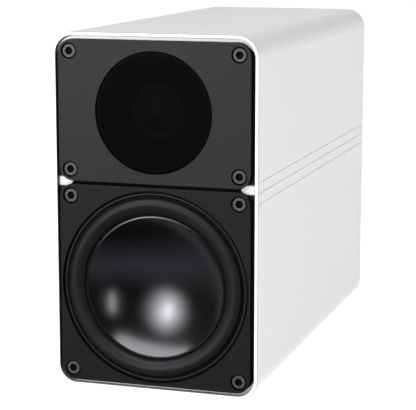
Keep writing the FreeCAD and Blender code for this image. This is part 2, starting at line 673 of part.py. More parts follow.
def rear_screw(name):
    """A small cross-recessed pan-head screw whose head rests on local y = 0."""
    high = "small_head_high - 0.6"
    body = turned(name, [
        ("0", "-8"), ("small_shank_r", "-8"), ("small_shank_r", "0"), ("small_head_r", "0"),
        ("small_head_r", f"({high})/2"), ("small_head_r - 0.8", high), ("0", high)],
        ("0", "0", "0"), kept=False)
    doc.recompute()
    for wide, tall in (("2.4", "0.5"), ("0.5", "2.4")):
        sketch = new_sketch(body, "XZ_Plane", f"{high} - 0.6")
        rectangle(sketch, wide, tall)
        pocket(body, sketch)
    return body


def make_port():
    """The flared bass-reflex port, through the rear panel and into the cabinet."""
    arc_r = "flare"
    bore, skin = "port_r", "(port_r + port_wall)"
    inner = "(-1*port_long)"
    turned("port_tube", [
        (bore, f"-1*{arc_r}"), (f"{bore} + {arc_r}", "0", arc_r, -1), ("flange_r", "0"),
        ("flange_r", "-1*flange_thick"), ("throat_r", "-1*flange_thick"), ("throat_r", "-1*throat_long"),
        (skin, "-1*throat_long - 5"), (skin, f"{inner} + inner_flare"),
        (f"{skin} + inner_flare - 1", inner, "inner_flare*1.02", 1),
        (f"{skin} + inner_flare - 3", inner), (bore, f"{inner} + inner_flare", "inner_flare*1.02", -1)],
        ("0", f"{REAR} + {PANEL_OUT} + flange_thick", "port_z"))


def cup_screws(mid="0"):
    return corners_of("cup_screw_x", "cup_screw_z", mid)


def make_terminal_cup():
    """A moulded cup that holds the two binding posts below the panel's face."""
    body = new_body("terminal_cup", ("0", REAR, "cup_z"))
    flange = new_sketch(body, "XZ_Plane", PANEL_OUT)
    rounded(flange, "cup_wide + 2*cup_flange", "cup_high + 2*cup_flange", "cup_corner + 1")
    pad(body, flange, "cup_flange_thick")
    box = new_sketch(body, "XZ_Plane", "-1*cup_deep - cup_wall")
    rounded(box, "cup_wide", "cup_high", "cup_corner")
    pad(body, box, "cup_deep + cup_wall - panel_sunk/2")
    doc.recompute()
    hollow = new_sketch(body, "XZ_Plane", "-1*cup_deep")
    rounded(hollow, "cup_wide - 2*cup_wall", "cup_high - 2*cup_wall", "cup_corner - cup_wall")
    pocket(body, hollow)
    drill(body, cup_screws(), "small_shank_r + shank_play", PANEL_OUT)
    drill(body, [(f"{s}*post_x", "0") for s in (1, -1)], "spigot_r + spigot_play", "-1*cup_deep - cup_wall")
    level = number(FLANGE_OUT)
    dress(body, "Fillet", "0.5", lambda e: at_level(e, level) and e.BoundBox.DiagonalLength > 8)
    screw = rear_screw("cup_screw")
    copies("terminal_cup_screws", screw, [(x, f"{REAR} + {FLANGE_OUT}", f"cup_z + {z}")
           for x, z in cup_screws()])


# ------------------------------------------------------- binding posts, local y = height above the floor

FLOOR = f"({REAR} - cup_deep)"
SHOULDER_TOP = "(collar_thick + shoulder_thick)"


def post_places():
    return [(f"{s}*post_x", FLOOR, "cup_z") for s in (1, -1)]


def make_posts():
    collar = turned("collar", [("stud_r + stud_play", "-1*cup_wall"), ("spigot_r", "-1*cup_wall"),
                             ("spigot_r", "0"),
                               ("collar_r", "0"), ("collar_r", "collar_thick"),
                               ("stud_r + stud_play", "collar_thick")], ("0", "0", "0"), kept=False)
    copies("post_collars", collar, post_places())
    stud = turned("stud", [
        ("0", "-1*stud_tail"), ("stud_r", "-1*stud_tail"), ("stud_r", "collar_thick"),
        ("shoulder_r", "collar_thick"), ("shoulder_r", SHOULDER_TOP), ("stud_r", SHOULDER_TOP),
        ("stud_r", "stud_end"), ("banana_r", "stud_end"), ("banana_r", "stud_end - banana_deep"),
        ("0", "stud_end - banana_deep")], ("0", "0", "0"), kept=False)
    copies("post_studs", stud, post_places())
    tag = ring("tag", "stud_r + stud_play", "collar_r - 1", "-1*cup_wall - tag_thick", "-1*cup_wall",
               ("0", "0", "0"), False)
    doc.recompute()
    tongue = new_sketch(tag, "XZ_Plane", "-1*cup_wall - tag_thick")
    rectangle(tongue, "3", "9", y="-1*stud_r - 5.5")
    pad(tag, tongue, "tag_thick")
    copies("solder_tags", tag, post_places())
    nut = new_body("nut", ("0", "0", "0"), kept=False)
    hexagon = new_sketch(nut, "XZ_Plane", "-1*cup_wall - tag_thick - nut_thick")
    outline(hexagon, [(f"nut_af * {math.cos(math.radians(a)) / math.sqrt(3):.6f}",
                       f"nut_af * {math.sin(math.radians(a)) / math.sqrt(3):.6f}")
                       for a in range(0, 360, 60)])
    pad(nut, hexagon, "nut_thick")
    doc.recompute()
    drill(nut, [("0", "0")], "stud_r + stud_play", "-1*cup_wall - tag_thick - nut_thick")
    copies("post_nuts", nut, post_places())


def make_knobs():
    """For each post a clamp washer that slides and a fluted knob with a metal insert that turns."""
    lift = f"{SHOULDER_TOP} + 0.05"
    base = f"({lift} + washer_thick + 0.05)"
    for colour, place in zip(("red", "black"), post_places()):
        ring(f"{colour}_clamp_washer", "stud_r + stud_play", "washer_r", lift,
             f"{lift} + washer_thick", place)
        ring(f"{colour}_knob_insert", "stud_r + stud_play", "insert_r", base,
             f"{base} + knob_long - 2", place)
        body = turned(f"{colour}_knob", [
            ("insert_r", base), ("knob_r - 1.2", base), ("knob_r", f"{base} + 1.6"),
            ("knob_r", f"{base} + knob_long"), ("stud_r + 0.4", f"{base} + knob_long"),
            ("stud_r + 0.4", f"{base} + knob_long - 2"), ("insert_r", f"{base} + knob_long - 2")], place)
        end = number(f"{base} + knob_long")
        dress(body, "Fillet", "knob_round", lambda e: at_level(e, end) and e.BoundBox.XLength > 10)
        before = body.Shape.Volume
        flute = new_sketch(body, "XZ_Plane", f"{base} + 2.6")
        circles(flute, [("knob_r + flute_r*0.35", "0")], "flute_r")
        cut = body.newObject("PartDesign::Pocket", f"{colour}_flute")
        cut.Profile = flute
        bind(cut, "Length", "knob_long - 5.2")
        check_cut(body, cut, before)
        pattern = body.newObject("PartDesign::PolarPattern", f"{colour}_flutes")
        pattern.Originals = [cut]
        pattern.Axis = (next(f for f in body.Origin.OriginFeatures if f.Role == "Y_Axis"), [""])
        pattern.Angle = 360
        bind(pattern, "Occurrences", "flutes")
        body.Tip = pattern


# ---------------------------------------------------------------- inside

BOARD_TOP = "(board_level + board_thick)"


def make_crossover():
    body = new_body("crossover_board", ("0", "board_mid", "0"))
    sketch = new_sketch(body, "XY_Plane", "board_level")
    rounded(sketch, "board_x", "board_y", "2")
    pad(body, sketch, "board_thick")
    doc.recompute()
    spots = corners_of("(board_x/2 - standoff_inset)", "(board_y/2 - standoff_inset)")
    holes = new_sketch(body, "XY_Plane", BOARD_TOP)
    circles(holes, spots, "1.65")
    pocket(body, holes)
    post = doc.addObject("Part::Cylinder", "standoff_leg")
    bind(post, "Radius", "standoff_r")
    bind(post, "Height", "board_level - wall")
    pin = doc.addObject("Part::Cylinder", "standoff_pin")
    pin.Radius = 1.5
    bind(pin, "Height", "board_thick + 2")
    move(pin, ("0", "0", "board_level - wall"))
    leg = doc.addObject("Part::Fuse", "standoff")
    leg.Base, leg.Tool = post, pin
    copies("board_standoffs", leg, [(x, f"board_mid + {y}", "wall") for x, y in spots])


def make_components():
    """Two coils, two film capacitors and two wirewound resistors on the crossover board."""
    for name, outer, inner, high, x, y in (("woofer_inductor", 15.0, 6.5, 16.0, -24.0, 72.0),
                                           ("tweeter_inductor", 11.0, 4.5, 11.0, 26.0, 78.0)):
        drum = doc.addObject("Part::Cylinder", f"{name}_drum")
        drum.Radius, drum.Height = outer, high
        bore = doc.addObject("Part::Cylinder", f"{name}_bore")
        bore.Radius, bore.Height = inner, high
        coil = doc.addObject("Part::Cut", name)
        coil.Base, coil.Tool = drum, bore
        coil.Label = name
        move(coil, (str(x), str(y), BOARD_TOP))
        NODES.append(coil)
    cans = []
    for radius, long, x, y in ((9.0, 36.0, -38.0, 43.5), (6.0, 28.0, 8.0, 46.0)):
        can = doc.addObject("Part::Cylinder", "film_can")
        can.Radius, can.Height = radius, long
        can.Placement = Placement(Vector(), Rotation(Vector(0, 1, 0), 90))
        move(can, (str(x), str(y), f"{BOARD_TOP} + {radius}"))
        cans.append(can)
    gather("film_capacitors", cans)
    blocks = []
    for x, y in ((-33.0, 24.5), (1.0, 24.5)):
        block = doc.addObject("Part::Box", "resistor_block")
        block.Length, block.Width, block.Height = 32, 8.5, 8.0
        move(block, (str(x), str(y), BOARD_TOP))
        blocks.append(block)
    gather("wirewound_resistors", blocks)


def gather(name, things):
    group = doc.addObject("Part::Compound", name)
    group.Label = name
    group.Links = things
    NODES.append(group)


def make_foam():
    """Plain blocks for the foam that lines both side walls and the roof."""
    inside = "(width/2 - wall)"
    long = "foam_end - foam_start"
    right, left = f"{inside} - foam_gap - foam_thick", f"-1*{inside} + foam_gap"
    for name, x in (("foam_right", right), ("foam_left", left)):
        block = doc.addObject("Part::Box", name)
        block.Label = name
        bind(block, "Length", "foam_thick")
        bind(block, "Width", long)
        bind(block, "Height", "foam_high - foam_low")
        move(block, (x, "foam_start", "foam_low"))
        NODES.append(block)
    roof = doc.addObject("Part::Box", "foam_top")
    roof.Label = "foam_top"
    bind(roof, "Length", f"2*{inside} - 2*foam_thick - 10")
    bind(roof, "Width", long)
    bind(roof, "Height", "foam_thick")
    move(roof, (f"-1*{inside} + foam_thick + 5", "foam_start", "height - wall - foam_gap - foam_thick"))
    NODES.append(roof)


def tube(points, radius):
    """A round wire through the points: straight runs and tangent arcs, each as large as its runs allow."""
    spots = [Vector(*p) for p in points]
    edges, here = [], spots[0]
    for before, at, after in zip(spots, spots[1:], spots[2:]):
        back, on = (before - at), (after - at)
        half_turn = (math.pi - back.getAngle(on)) / 2
        reach = 0.45 * min(back.Length, on.Length)
        bend = reach / math.tan(half_turn)
        start, end = at + back.normalize() * reach, at + on.normalize() * reach
        to_centre = (back + on).normalize()
        centre = at + to_centre * (bend / math.cos(half_turn))
        middle = centre - to_centre * bend
        edges += [Part.LineSegment(here, start).toShape(), Part.Arc(start, middle, end).toShape()]
        here = end
    edges.append(Part.LineSegment(here, spots[-1]).toShape())
    path = Part.Wire(edges)
    section = Part.Wire([Part.Circle(spots[0], (spots[1] - spots[0]), radius).toShape()])
    solid = path.makePipeShell([section], True, False)
    ratio = solid.Volume / (math.pi * radius**2 * path.Length)
    if not 0.98 < ratio < 1.02:
        raise RuntimeError(f"a wire's volume is {ratio:.3f} of its section times its length")
    return solid


def add_wires(name, routes, radius):
    group = doc.addObject("Part::Feature", name)
    group.Label = name
    group.Shape = Part.makeCompound([tube(points, radius) for points in routes])
    NODES.append(group)


def make_wires():
    """Three pairs of leads: posts to board, board to woofer, board to tweeter."""
    wire_r, x = SIZES["wire_r"], SIZES["post_x"]
    board_start, board_end = number("board_mid - board_y/2"), number("board_mid + board_y/2")
    top = number(BOARD_TOP) + wire_r + 0.2
    tag_y = number(f"{FLOOR} - cup_wall - tag_thick") - wire_r - 0.1
    tag_z = number("cup_z - stud_r - 8.5")
    add_wires("input_leads", [
        [(s * x, tag_y, tag_z), (s * x, tag_y, tag_z - 12), (s * x, board_end + 4, 26),
         (s * (x + 1), board_end - 4, top)] for s in (1, -1)], wire_r)
    strip_y = number(f"{FRONT} + bowl_level + 5") + 0.1
    strip_z = number(f"{WOOFER_Z} - bowl_r") - 3.4
    add_wires("woofer_leads", [
        [(s * 5, strip_y, strip_z), (s * 5, strip_y + 16, strip_z - 2), (s * 7, -20, 9),
         (s * 9, board_start - 12, 17), (s * 9, board_start + 1.5, top)] for s in (1, -1)], wire_r)
    yoke_y = number(f"{FRONT} + dome_top_start + dome_top_thick + dome_magnet_thick + dome_yoke_thick") + 0.1
    yoke_z = number(TWEETER_Z) - 26
    add_wires("tweeter_leads", [
        [(s * 4, yoke_y, yoke_z), (s * 4, yoke_y + 24, yoke_z - 2), (s * 6, yoke_y + 44, 96),
         (s * 9, -30, 52), (s * 14, 6, 30), (s * 16, board_start + 2, top)] for s in (1, -1)], wire_r)


def make_lead_hardware():
    """The terminal strip on the basket and the flexible braids from it to the voice coil."""
    strip = new_body("woofer_terminal_strip", WOOFER)
    sketch = new_sketch(strip, "XZ_Plane", "bowl_level + 3")
    rectangle(sketch, "18", "6", y="-1*bowl_r - 3.05")
    pad(strip, sketch, "2")
    front, mid = number(FRONT), number(WOOFER_Z)
    start_y = front + number("bowl_level + 3") - 0.1
    low, near = mid - number("bowl_r") - 3.4, mid - number("coil_r") - 1.0
    add_wires("tinsel_leads", [
        [(s * 5, start_y, low), (s * 5, start_y - 10, low + 0.5), (s * 4.5, start_y - 11.5, low + 11),
         (s * 4, start_y - 9, near)] for s in (1, -1)], 0.6)


def check(thing):
    bad = {"Invalid", "Error"} & set(thing.State)
    if bad:
        raise RuntimeError(f"{thing.Name} is {bad}")


def write_parts():
    doc.recompute()
    for thing in doc.Objects:
        check(thing)
    os.makedirs("parts", exist_ok=True)
    for old in os.listdir("parts"):
        os.remove(os.path.join("parts", old))
    for node in NODES:
        shape = node.Shape
        if shape.isNull() or not shape.isValid() or not shape.Solids:
            raise RuntimeError(f"{node.Label} has no valid solid")
        shape.exportStep(os.path.join("parts", f"{node.Label}.step"))
    print(len(NODES), "sub-parts written")


def main():
    fill_sheet()
    make_sleeve()
    make_front_frame()
    make_plate_gasket("tweeter_gasket", TWEETER_H, TWEETER_Z, "tweeter_hole_r", TWEETER_HOLE_Z)
    seal = make_plate_gasket("woofer_gasket", "woofer_high", WOOFER_Z, "baffle_hole_r", WOOFER_HOLE_Z)
    add_gap_strip(seal)
    make_tweeter_plate()
    make_plate_screws()
    make_woofer_frame()
    make_surround()
    make_trim_bead()
    make_cone()
    make_voice_coil()
    make_spider()
    make_woofer_motor()
    make_lead_hardware()
    make_mesh()
    make_waveguide()
    make_dome()
    make_tweeter_motor()
    make_rear_frame()
    make_rear_panel()
    make_port()
    make_terminal_cup()
    make_posts()
    make_knobs()
    make_crossover()
    make_components()
    make_foam()
    make_wires()
    write_parts()


main()
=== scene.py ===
"""Bookshelf speaker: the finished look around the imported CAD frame. Metres, +Z up, the drivers face -Y."""
import json
import math
import random

import bmesh
import bpy
from mathutils import Euler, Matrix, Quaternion, Vector
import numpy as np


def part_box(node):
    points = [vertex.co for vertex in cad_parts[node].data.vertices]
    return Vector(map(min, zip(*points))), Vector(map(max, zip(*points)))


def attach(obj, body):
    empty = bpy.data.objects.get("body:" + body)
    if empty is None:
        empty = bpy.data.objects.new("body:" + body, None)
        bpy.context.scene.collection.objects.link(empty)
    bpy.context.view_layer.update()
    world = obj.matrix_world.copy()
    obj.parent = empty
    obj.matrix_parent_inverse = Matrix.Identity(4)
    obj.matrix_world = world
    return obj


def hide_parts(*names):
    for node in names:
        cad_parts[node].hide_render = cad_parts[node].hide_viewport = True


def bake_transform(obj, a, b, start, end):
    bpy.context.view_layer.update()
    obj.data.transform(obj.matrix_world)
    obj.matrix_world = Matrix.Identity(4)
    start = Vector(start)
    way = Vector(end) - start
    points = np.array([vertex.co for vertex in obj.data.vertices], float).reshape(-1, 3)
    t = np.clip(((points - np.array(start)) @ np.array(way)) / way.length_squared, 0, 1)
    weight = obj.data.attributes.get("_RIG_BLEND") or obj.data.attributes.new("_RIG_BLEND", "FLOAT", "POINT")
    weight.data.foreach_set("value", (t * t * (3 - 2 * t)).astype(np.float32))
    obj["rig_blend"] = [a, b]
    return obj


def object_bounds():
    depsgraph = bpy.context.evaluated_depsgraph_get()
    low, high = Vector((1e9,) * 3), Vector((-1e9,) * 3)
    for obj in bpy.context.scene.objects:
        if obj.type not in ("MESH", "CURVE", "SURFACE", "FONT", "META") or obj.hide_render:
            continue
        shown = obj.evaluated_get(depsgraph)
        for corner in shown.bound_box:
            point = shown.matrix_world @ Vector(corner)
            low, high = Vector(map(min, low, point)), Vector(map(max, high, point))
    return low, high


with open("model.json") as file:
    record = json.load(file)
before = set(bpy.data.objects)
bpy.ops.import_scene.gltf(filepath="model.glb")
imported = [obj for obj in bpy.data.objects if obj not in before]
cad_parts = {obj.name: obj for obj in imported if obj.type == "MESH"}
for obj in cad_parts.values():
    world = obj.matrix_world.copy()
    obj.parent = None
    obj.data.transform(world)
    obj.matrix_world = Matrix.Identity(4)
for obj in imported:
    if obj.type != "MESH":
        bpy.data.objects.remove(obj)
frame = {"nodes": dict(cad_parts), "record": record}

CAD_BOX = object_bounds()
NODES = frame["nodes"]
MM = 0.001


# ---------------------------------------------------------------- places, read from the CAD

def low(node):
    return Vector(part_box(node)[0])


def high(node):
    return Vector(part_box(node)[1])


def middle(node):
    return (low(node) + high(node)) / 2


def size(node):
    return high(node) - low(node)


# ---------------------------------------------------------------- materials

def new_material(name):
    material = bpy.data.materials.new(name)
    material.use_nodes = True
    tree = material.node_tree
    shader = tree.nodes["Principled BSDF"]
    coordinates = tree.nodes.new("ShaderNodeTexCoord").outputs["Object"]
    return material, tree, shader, coordinates


def noise_of(tree, coordinates, scale, detail=2.0, stretch=None):
    """Noise over the object, scale in cycles a metre. stretch multiplies each axis."""
    if stretch is not None:
        mapping = tree.nodes.new("ShaderNodeMapping")
        mapping.inputs["Scale"].default_value = stretch
        tree.links.new(coordinates, mapping.inputs["Vector"])
        coordinates = mapping.outputs["Vector"]
    noise = tree.nodes.new("ShaderNodeTexNoise")
    noise.inputs["Scale"].default_value = scale
    noise.inputs["Detail"].default_value = detail
    tree.links.new(coordinates, noise.inputs["Vector"])
    return noise.outputs["Fac"]


def spread(tree, value, start, end, to_low, to_high):
    node = tree.nodes.new("ShaderNodeMapRange")
    for socket, number in zip(("From Min", "From Max", "To Min", "To Max"), (start, end, to_low, to_high)):
        node.inputs[socket].default_value = number
    tree.links.new(value, node.inputs["Value"])
    return node.outputs["Result"]


def mix_colours(tree, factor, first, second):
    node = tree.nodes.new("ShaderNodeMix")
    node.data_type = "RGBA"
    for socket, colour in ((node.inputs[6], first), (node.inputs[7], second)):
        if hasattr(colour, "is_linked"):
            tree.links.new(colour, socket)
        else:
            socket.default_value = (*colour, 1.0)
    tree.links.new(factor, node.inputs["Factor"])
    return node.outputs[2]


def math_node(tree, operation, *values):
    node = tree.nodes.new("ShaderNodeMath")
    node.operation = operation
    for socket, value in zip(node.inputs, values):
        if hasattr(value, "is_linked"):
            tree.links.new(value, socket)
        else:
            socket.default_value = value
    return node.outputs[0]


def bump(tree, shader, height, distance, strength=1.0):
    node = tree.nodes.new("ShaderNodeBump")
    node.inputs["Strength"].default_value = strength
    node.inputs["Distance"].default_value = distance
    tree.links.new(height, node.inputs["Height"])
    tree.links.new(node.outputs["Normal"], shader.inputs["Normal"])
    return node


def weighted(tree, *pairs):
    """The sum of each value times its weight."""
    total = 0.0
    for value, weight in pairs:
        total = math_node(tree, "ADD", total, math_node(tree, "MULTIPLY", value, weight))
    return total


def surface(name, colour, rough, metal=0.0, tone=0.06, patch=9.0, grain=2500.0, depth=0.00002,
            rough_play=0.06, stretch=None, coat=0.0, specular=0.5, sheen=0.0):
    """A finish with soft patches of tone, a fine grain, and roughness that wanders."""
    material, tree, shader, coordinates = new_material(name)
    shader.inputs["Metallic"].default_value = metal
    shader.inputs["Specular IOR Level"].default_value = specular
    shader.inputs["Coat Weight"].default_value = coat
    shader.inputs["Coat Roughness"].default_value = 0.1
    shader.inputs["Sheen Weight"].default_value = sheen
    patches = noise_of(tree, coordinates, patch, 4.0)
    fine = noise_of(tree, coordinates, grain, 3.0, stretch)
    darker = tuple(max(c * (1 - tone), 0.0) for c in colour)
    lighter = tuple(min(c * (1 + tone), 1.0) for c in colour)
    blend = weighted(tree, (patches, 0.6), (fine, 0.4))
    tree.links.new(mix_colours(tree, spread(tree, blend, 0.3, 0.7, 0.0, 1.0), darker, lighter),
                   shader.inputs["Base Color"])
    wander = weighted(tree, (patches, 0.5), (fine, 0.5))
    tree.links.new(spread(tree, wander, 0.3, 0.7, rough - rough_play, rough + rough_play),
                   shader.inputs["Roughness"])
    bump(tree, shader, fine, depth)
    return material


def make_shell_material():
    """Satin white lacquer over extruded aluminium. The front bead is painted near white as a painted
    highlight. Fine grey lines of painted shade sit behind it and at the rounded rear edge. The inner wall
    behind the rim is painted dark as shade, darker on its sides.
    """
    material, tree, shader, coordinates = new_material("shell_lacquer")
    shader.inputs["Coat Weight"].default_value = 0.15
    shader.inputs["Coat Roughness"].default_value = 0.16
    shader.inputs["Specular IOR Level"].default_value = 0.3
    split = tree.nodes.new("ShaderNodeSeparateXYZ")
    tree.links.new(coordinates, split.inputs[0])
    patches = noise_of(tree, coordinates, 7.0, 3.0)
    flakes = noise_of(tree, coordinates, 4200.0, 2.0)
    drawn = noise_of(tree, coordinates, 900.0, 2.0, (1.0, 0.02, 1.0))
    tone = weighted(tree, (patches, 0.5), (flakes, 0.3), (drawn, 0.2))
    mottle = spread(tree, tone, 0.35, 0.65, 0.0, 1.0)
    body = mix_colours(tree, mottle, (0.745, 0.752, 0.765), (0.775, 0.782, 0.795))
    start, end = low("cabinet_sleeve").y, high("cabinet_sleeve").y
    # Painted highlight: the front bead is coloured near white.
    bead_highlight = spread(tree, split.outputs["Y"], start + 0.00015, start + 0.0003, 1.0, 0.0)
    # Painted shade: grey lines behind the front bead and on the rounded rear edge.
    front_shade_line = spread(tree, split.outputs["Y"], start + 0.0009, start + 0.0014, 1.0, 0.0)
    rear_shade_line = spread(tree, split.outputs["Y"], end - 0.0009, end - 0.0007, 0.0, 1.0)
    line = math_node(tree, "MAXIMUM", front_shade_line, rear_shade_line)
    shade_lined = mix_colours(tree, line, body, (0.46, 0.47, 0.485))
    finish = mix_colours(tree, bead_highlight, shade_lined, (0.97, 0.975, 0.98))
    # Painted shade: the inner wall behind the rim is darkened, darker on the sides than on top and bottom.
    inside, side = inner_wall(tree, coordinates)
    shadowed = mix_colours(tree, side, (0.16, 0.165, 0.17), (0.018, 0.018, 0.020))
    tree.links.new(mix_colours(tree, inside, finish, shadowed), shader.inputs["Base Color"])
    tree.links.new(spread(tree, tone, 0.35, 0.65, 0.30, 0.38), shader.inputs["Roughness"])
    bump(tree, shader, flakes, 0.000004)
    return material


def inner_wall(tree, coordinates):
    """Two factors for the painted shade on the sleeve's inner face behind the rim: 1 on that face, and how
    far that face is a side.
    """
    centre, half = middle("cabinet_sleeve"), size("cabinet_sleeve") / 2
    corner, wall = 12.5 * MM, 2.2 * MM
    offset = tree.nodes.new("ShaderNodeVectorMath")
    offset.operation = "SUBTRACT"
    tree.links.new(coordinates, offset.inputs[0])
    offset.inputs[1].default_value = (centre.x, 0.0, centre.z)
    folded = tree.nodes.new("ShaderNodeVectorMath")
    folded.operation = "ABSOLUTE"
    tree.links.new(offset.outputs[0], folded.inputs[0])
    parts = tree.nodes.new("ShaderNodeSeparateXYZ")
    tree.links.new(folded.outputs[0], parts.inputs[0])
    across = math_node(tree, "MAXIMUM", math_node(tree, "SUBTRACT", parts.outputs["X"], half.x - corner), 0.0)
    upward = math_node(tree, "MAXIMUM", math_node(tree, "SUBTRACT", parts.outputs["Z"], half.z - corner), 0.0)
    radius = math_node(tree, "SQRT", math_node(tree, "ADD", math_node(tree, "MULTIPLY", across, across),
                                               math_node(tree, "MULTIPLY", upward, upward)))
    inner = spread(tree, radius, corner - wall + 0.0002, corner - wall + 0.0004, 1.0, 0.0)
    deep = spread(tree, coordinate_y(tree, coordinates), low("cabinet_sleeve").y + 0.0001,
                  low("cabinet_sleeve").y + 0.0003, 0.0, 1.0)
    side = math_node(tree, "DIVIDE", across, math_node(tree, "MAXIMUM", radius, 0.0001))
    return math_node(tree, "MULTIPLY", inner, deep), side


def coordinate_y(tree, coordinates):
    split = tree.nodes.new("ShaderNodeSeparateXYZ")
    tree.links.new(coordinates, split.inputs[0])
    return split.outputs["Y"]


def make_cone_material():
    """Dark anodised spun metal whose edge ring is tinted a little darker than the dish."""
    material, tree, shader, coordinates = new_material("cone_anodised")
    shader.inputs["Metallic"].default_value = 1.0
    patches = noise_of(tree, coordinates, 30.0, 3.0)
    fine = noise_of(tree, coordinates, 3500.0, 2.0)
    mottle = spread(tree, patches, 0.3, 0.7, 0.0, 1.0)
    dark = mix_colours(tree, mottle, (0.150, 0.151, 0.160), (0.170, 0.171, 0.180))
    radius = distance_from_axis(tree, coordinates, middle("woofer_cone"))
    edge = size("woofer_cone").x / 2
    lip = spread(tree, radius, edge - 0.0010, edge - 0.0007, 0.0, 1.0)
    tree.links.new(mix_colours(tree, lip, dark, (0.13, 0.13, 0.14)), shader.inputs["Base Color"])
    tree.links.new(spread(tree, patches, 0.3, 0.7, 0.18, 0.22), shader.inputs["Roughness"])
    bump(tree, shader, fine, 0.000004)
    return material


def distance_from_axis(tree, coordinates, centre):
    """How far a point lies from the line along Y through centre."""
    offset = tree.nodes.new("ShaderNodeVectorMath")
    offset.operation = "MULTIPLY_ADD"
    tree.links.new(coordinates, offset.inputs[0])
    offset.inputs[1].default_value = (1.0, 0.0, 1.0)
    offset.inputs[2].default_value = (-centre.x, 0.0, -centre.z)
    length = tree.nodes.new("ShaderNodeVectorMath")
    length.operation = "LENGTH"
    tree.links.new(offset.outputs[0], length.inputs[0])
    return length.outputs["Value"]


def opened(material):
    """A made material's tree, shader and coordinates, to change its finish."""
    tree = material.node_tree
    source = next(node for node in tree.nodes if node.bl_idname == "ShaderNodeTexCoord")
    return tree, tree.nodes["Principled BSDF"], source.outputs["Object"]


def paint_over(tree, shader, factor, colour, rough=None):
    """Mixes a colour over the finish by a factor, and raises the roughness there."""
    finish = shader.inputs["Base Color"].links[0].from_socket
    tree.links.new(mix_colours(tree, factor, finish, colour), shader.inputs["Base Color"])
    if rough is not None:
        under = shader.inputs["Roughness"].links[0].from_socket
        matt = math_node(tree, "MAXIMUM", under, math_node(tree, "MULTIPLY", factor, rough))
        tree.links.new(matt, shader.inputs["Roughness"])


def paint_shade_below(material, level, soft=0.0002, colour=(0.002, 0.002, 0.002)):
    """Painted shade below a level: near-black matt colour on the sides of plates, in counterbores and in
    sockets, where shade falls.
    """
    tree, shader, coordinates = opened(material)
    depth = spread(tree, coordinate_y(tree, coordinates), level, level + soft, 0.0, 1.0)
    paint_over(tree, shader, depth, colour, 0.9)
    return material


def paint_gap_shade_beside_band(material, level, half, reach=0.010, soft=0.0010):
    """Painted shade: leaves a finish bare within half of a height, and paints it near black, as shade in the
    narrow gap, from there out to reach.
    """
    tree, shader, coordinates = opened(material)
    split = tree.nodes.new("ShaderNodeSeparateXYZ")
    tree.links.new(coordinates, split.inputs[0])
    away = math_node(tree, "ABSOLUTE", math_node(tree, "SUBTRACT", split.outputs["Z"], level))
    gap_shade = math_node(tree, "MULTIPLY", spread(tree, away, half, half + soft, 0.0, 1.0),
                      spread(tree, away, reach, reach + soft, 1.0, 0.0))
    paint_over(tree, shader, gap_shade, (0.006, 0.006, 0.006))
    return material


def paint_flange_shade(material, centre, inner, outer, soft=0.0004):
    """Painted shade on a ring's flanges: near-black matt colour nearer the axis than inner and further than
    outer, where the surround's grooves and recess lie in shade.
    """
    tree, shader, coordinates = opened(material)
    radius = distance_from_axis(tree, coordinates, centre)
    near = spread(tree, radius, inner - soft, inner + soft, 1.0, 0.0)
    far = spread(tree, radius, outer - soft, outer + soft, 0.0, 1.0)
    flange_shade = math_node(tree, "MAXIMUM", near, far)
    paint_over(tree, shader, flange_shade, (0.0015, 0.0015, 0.0015), 0.95)
    return material


MATERIALS = {}


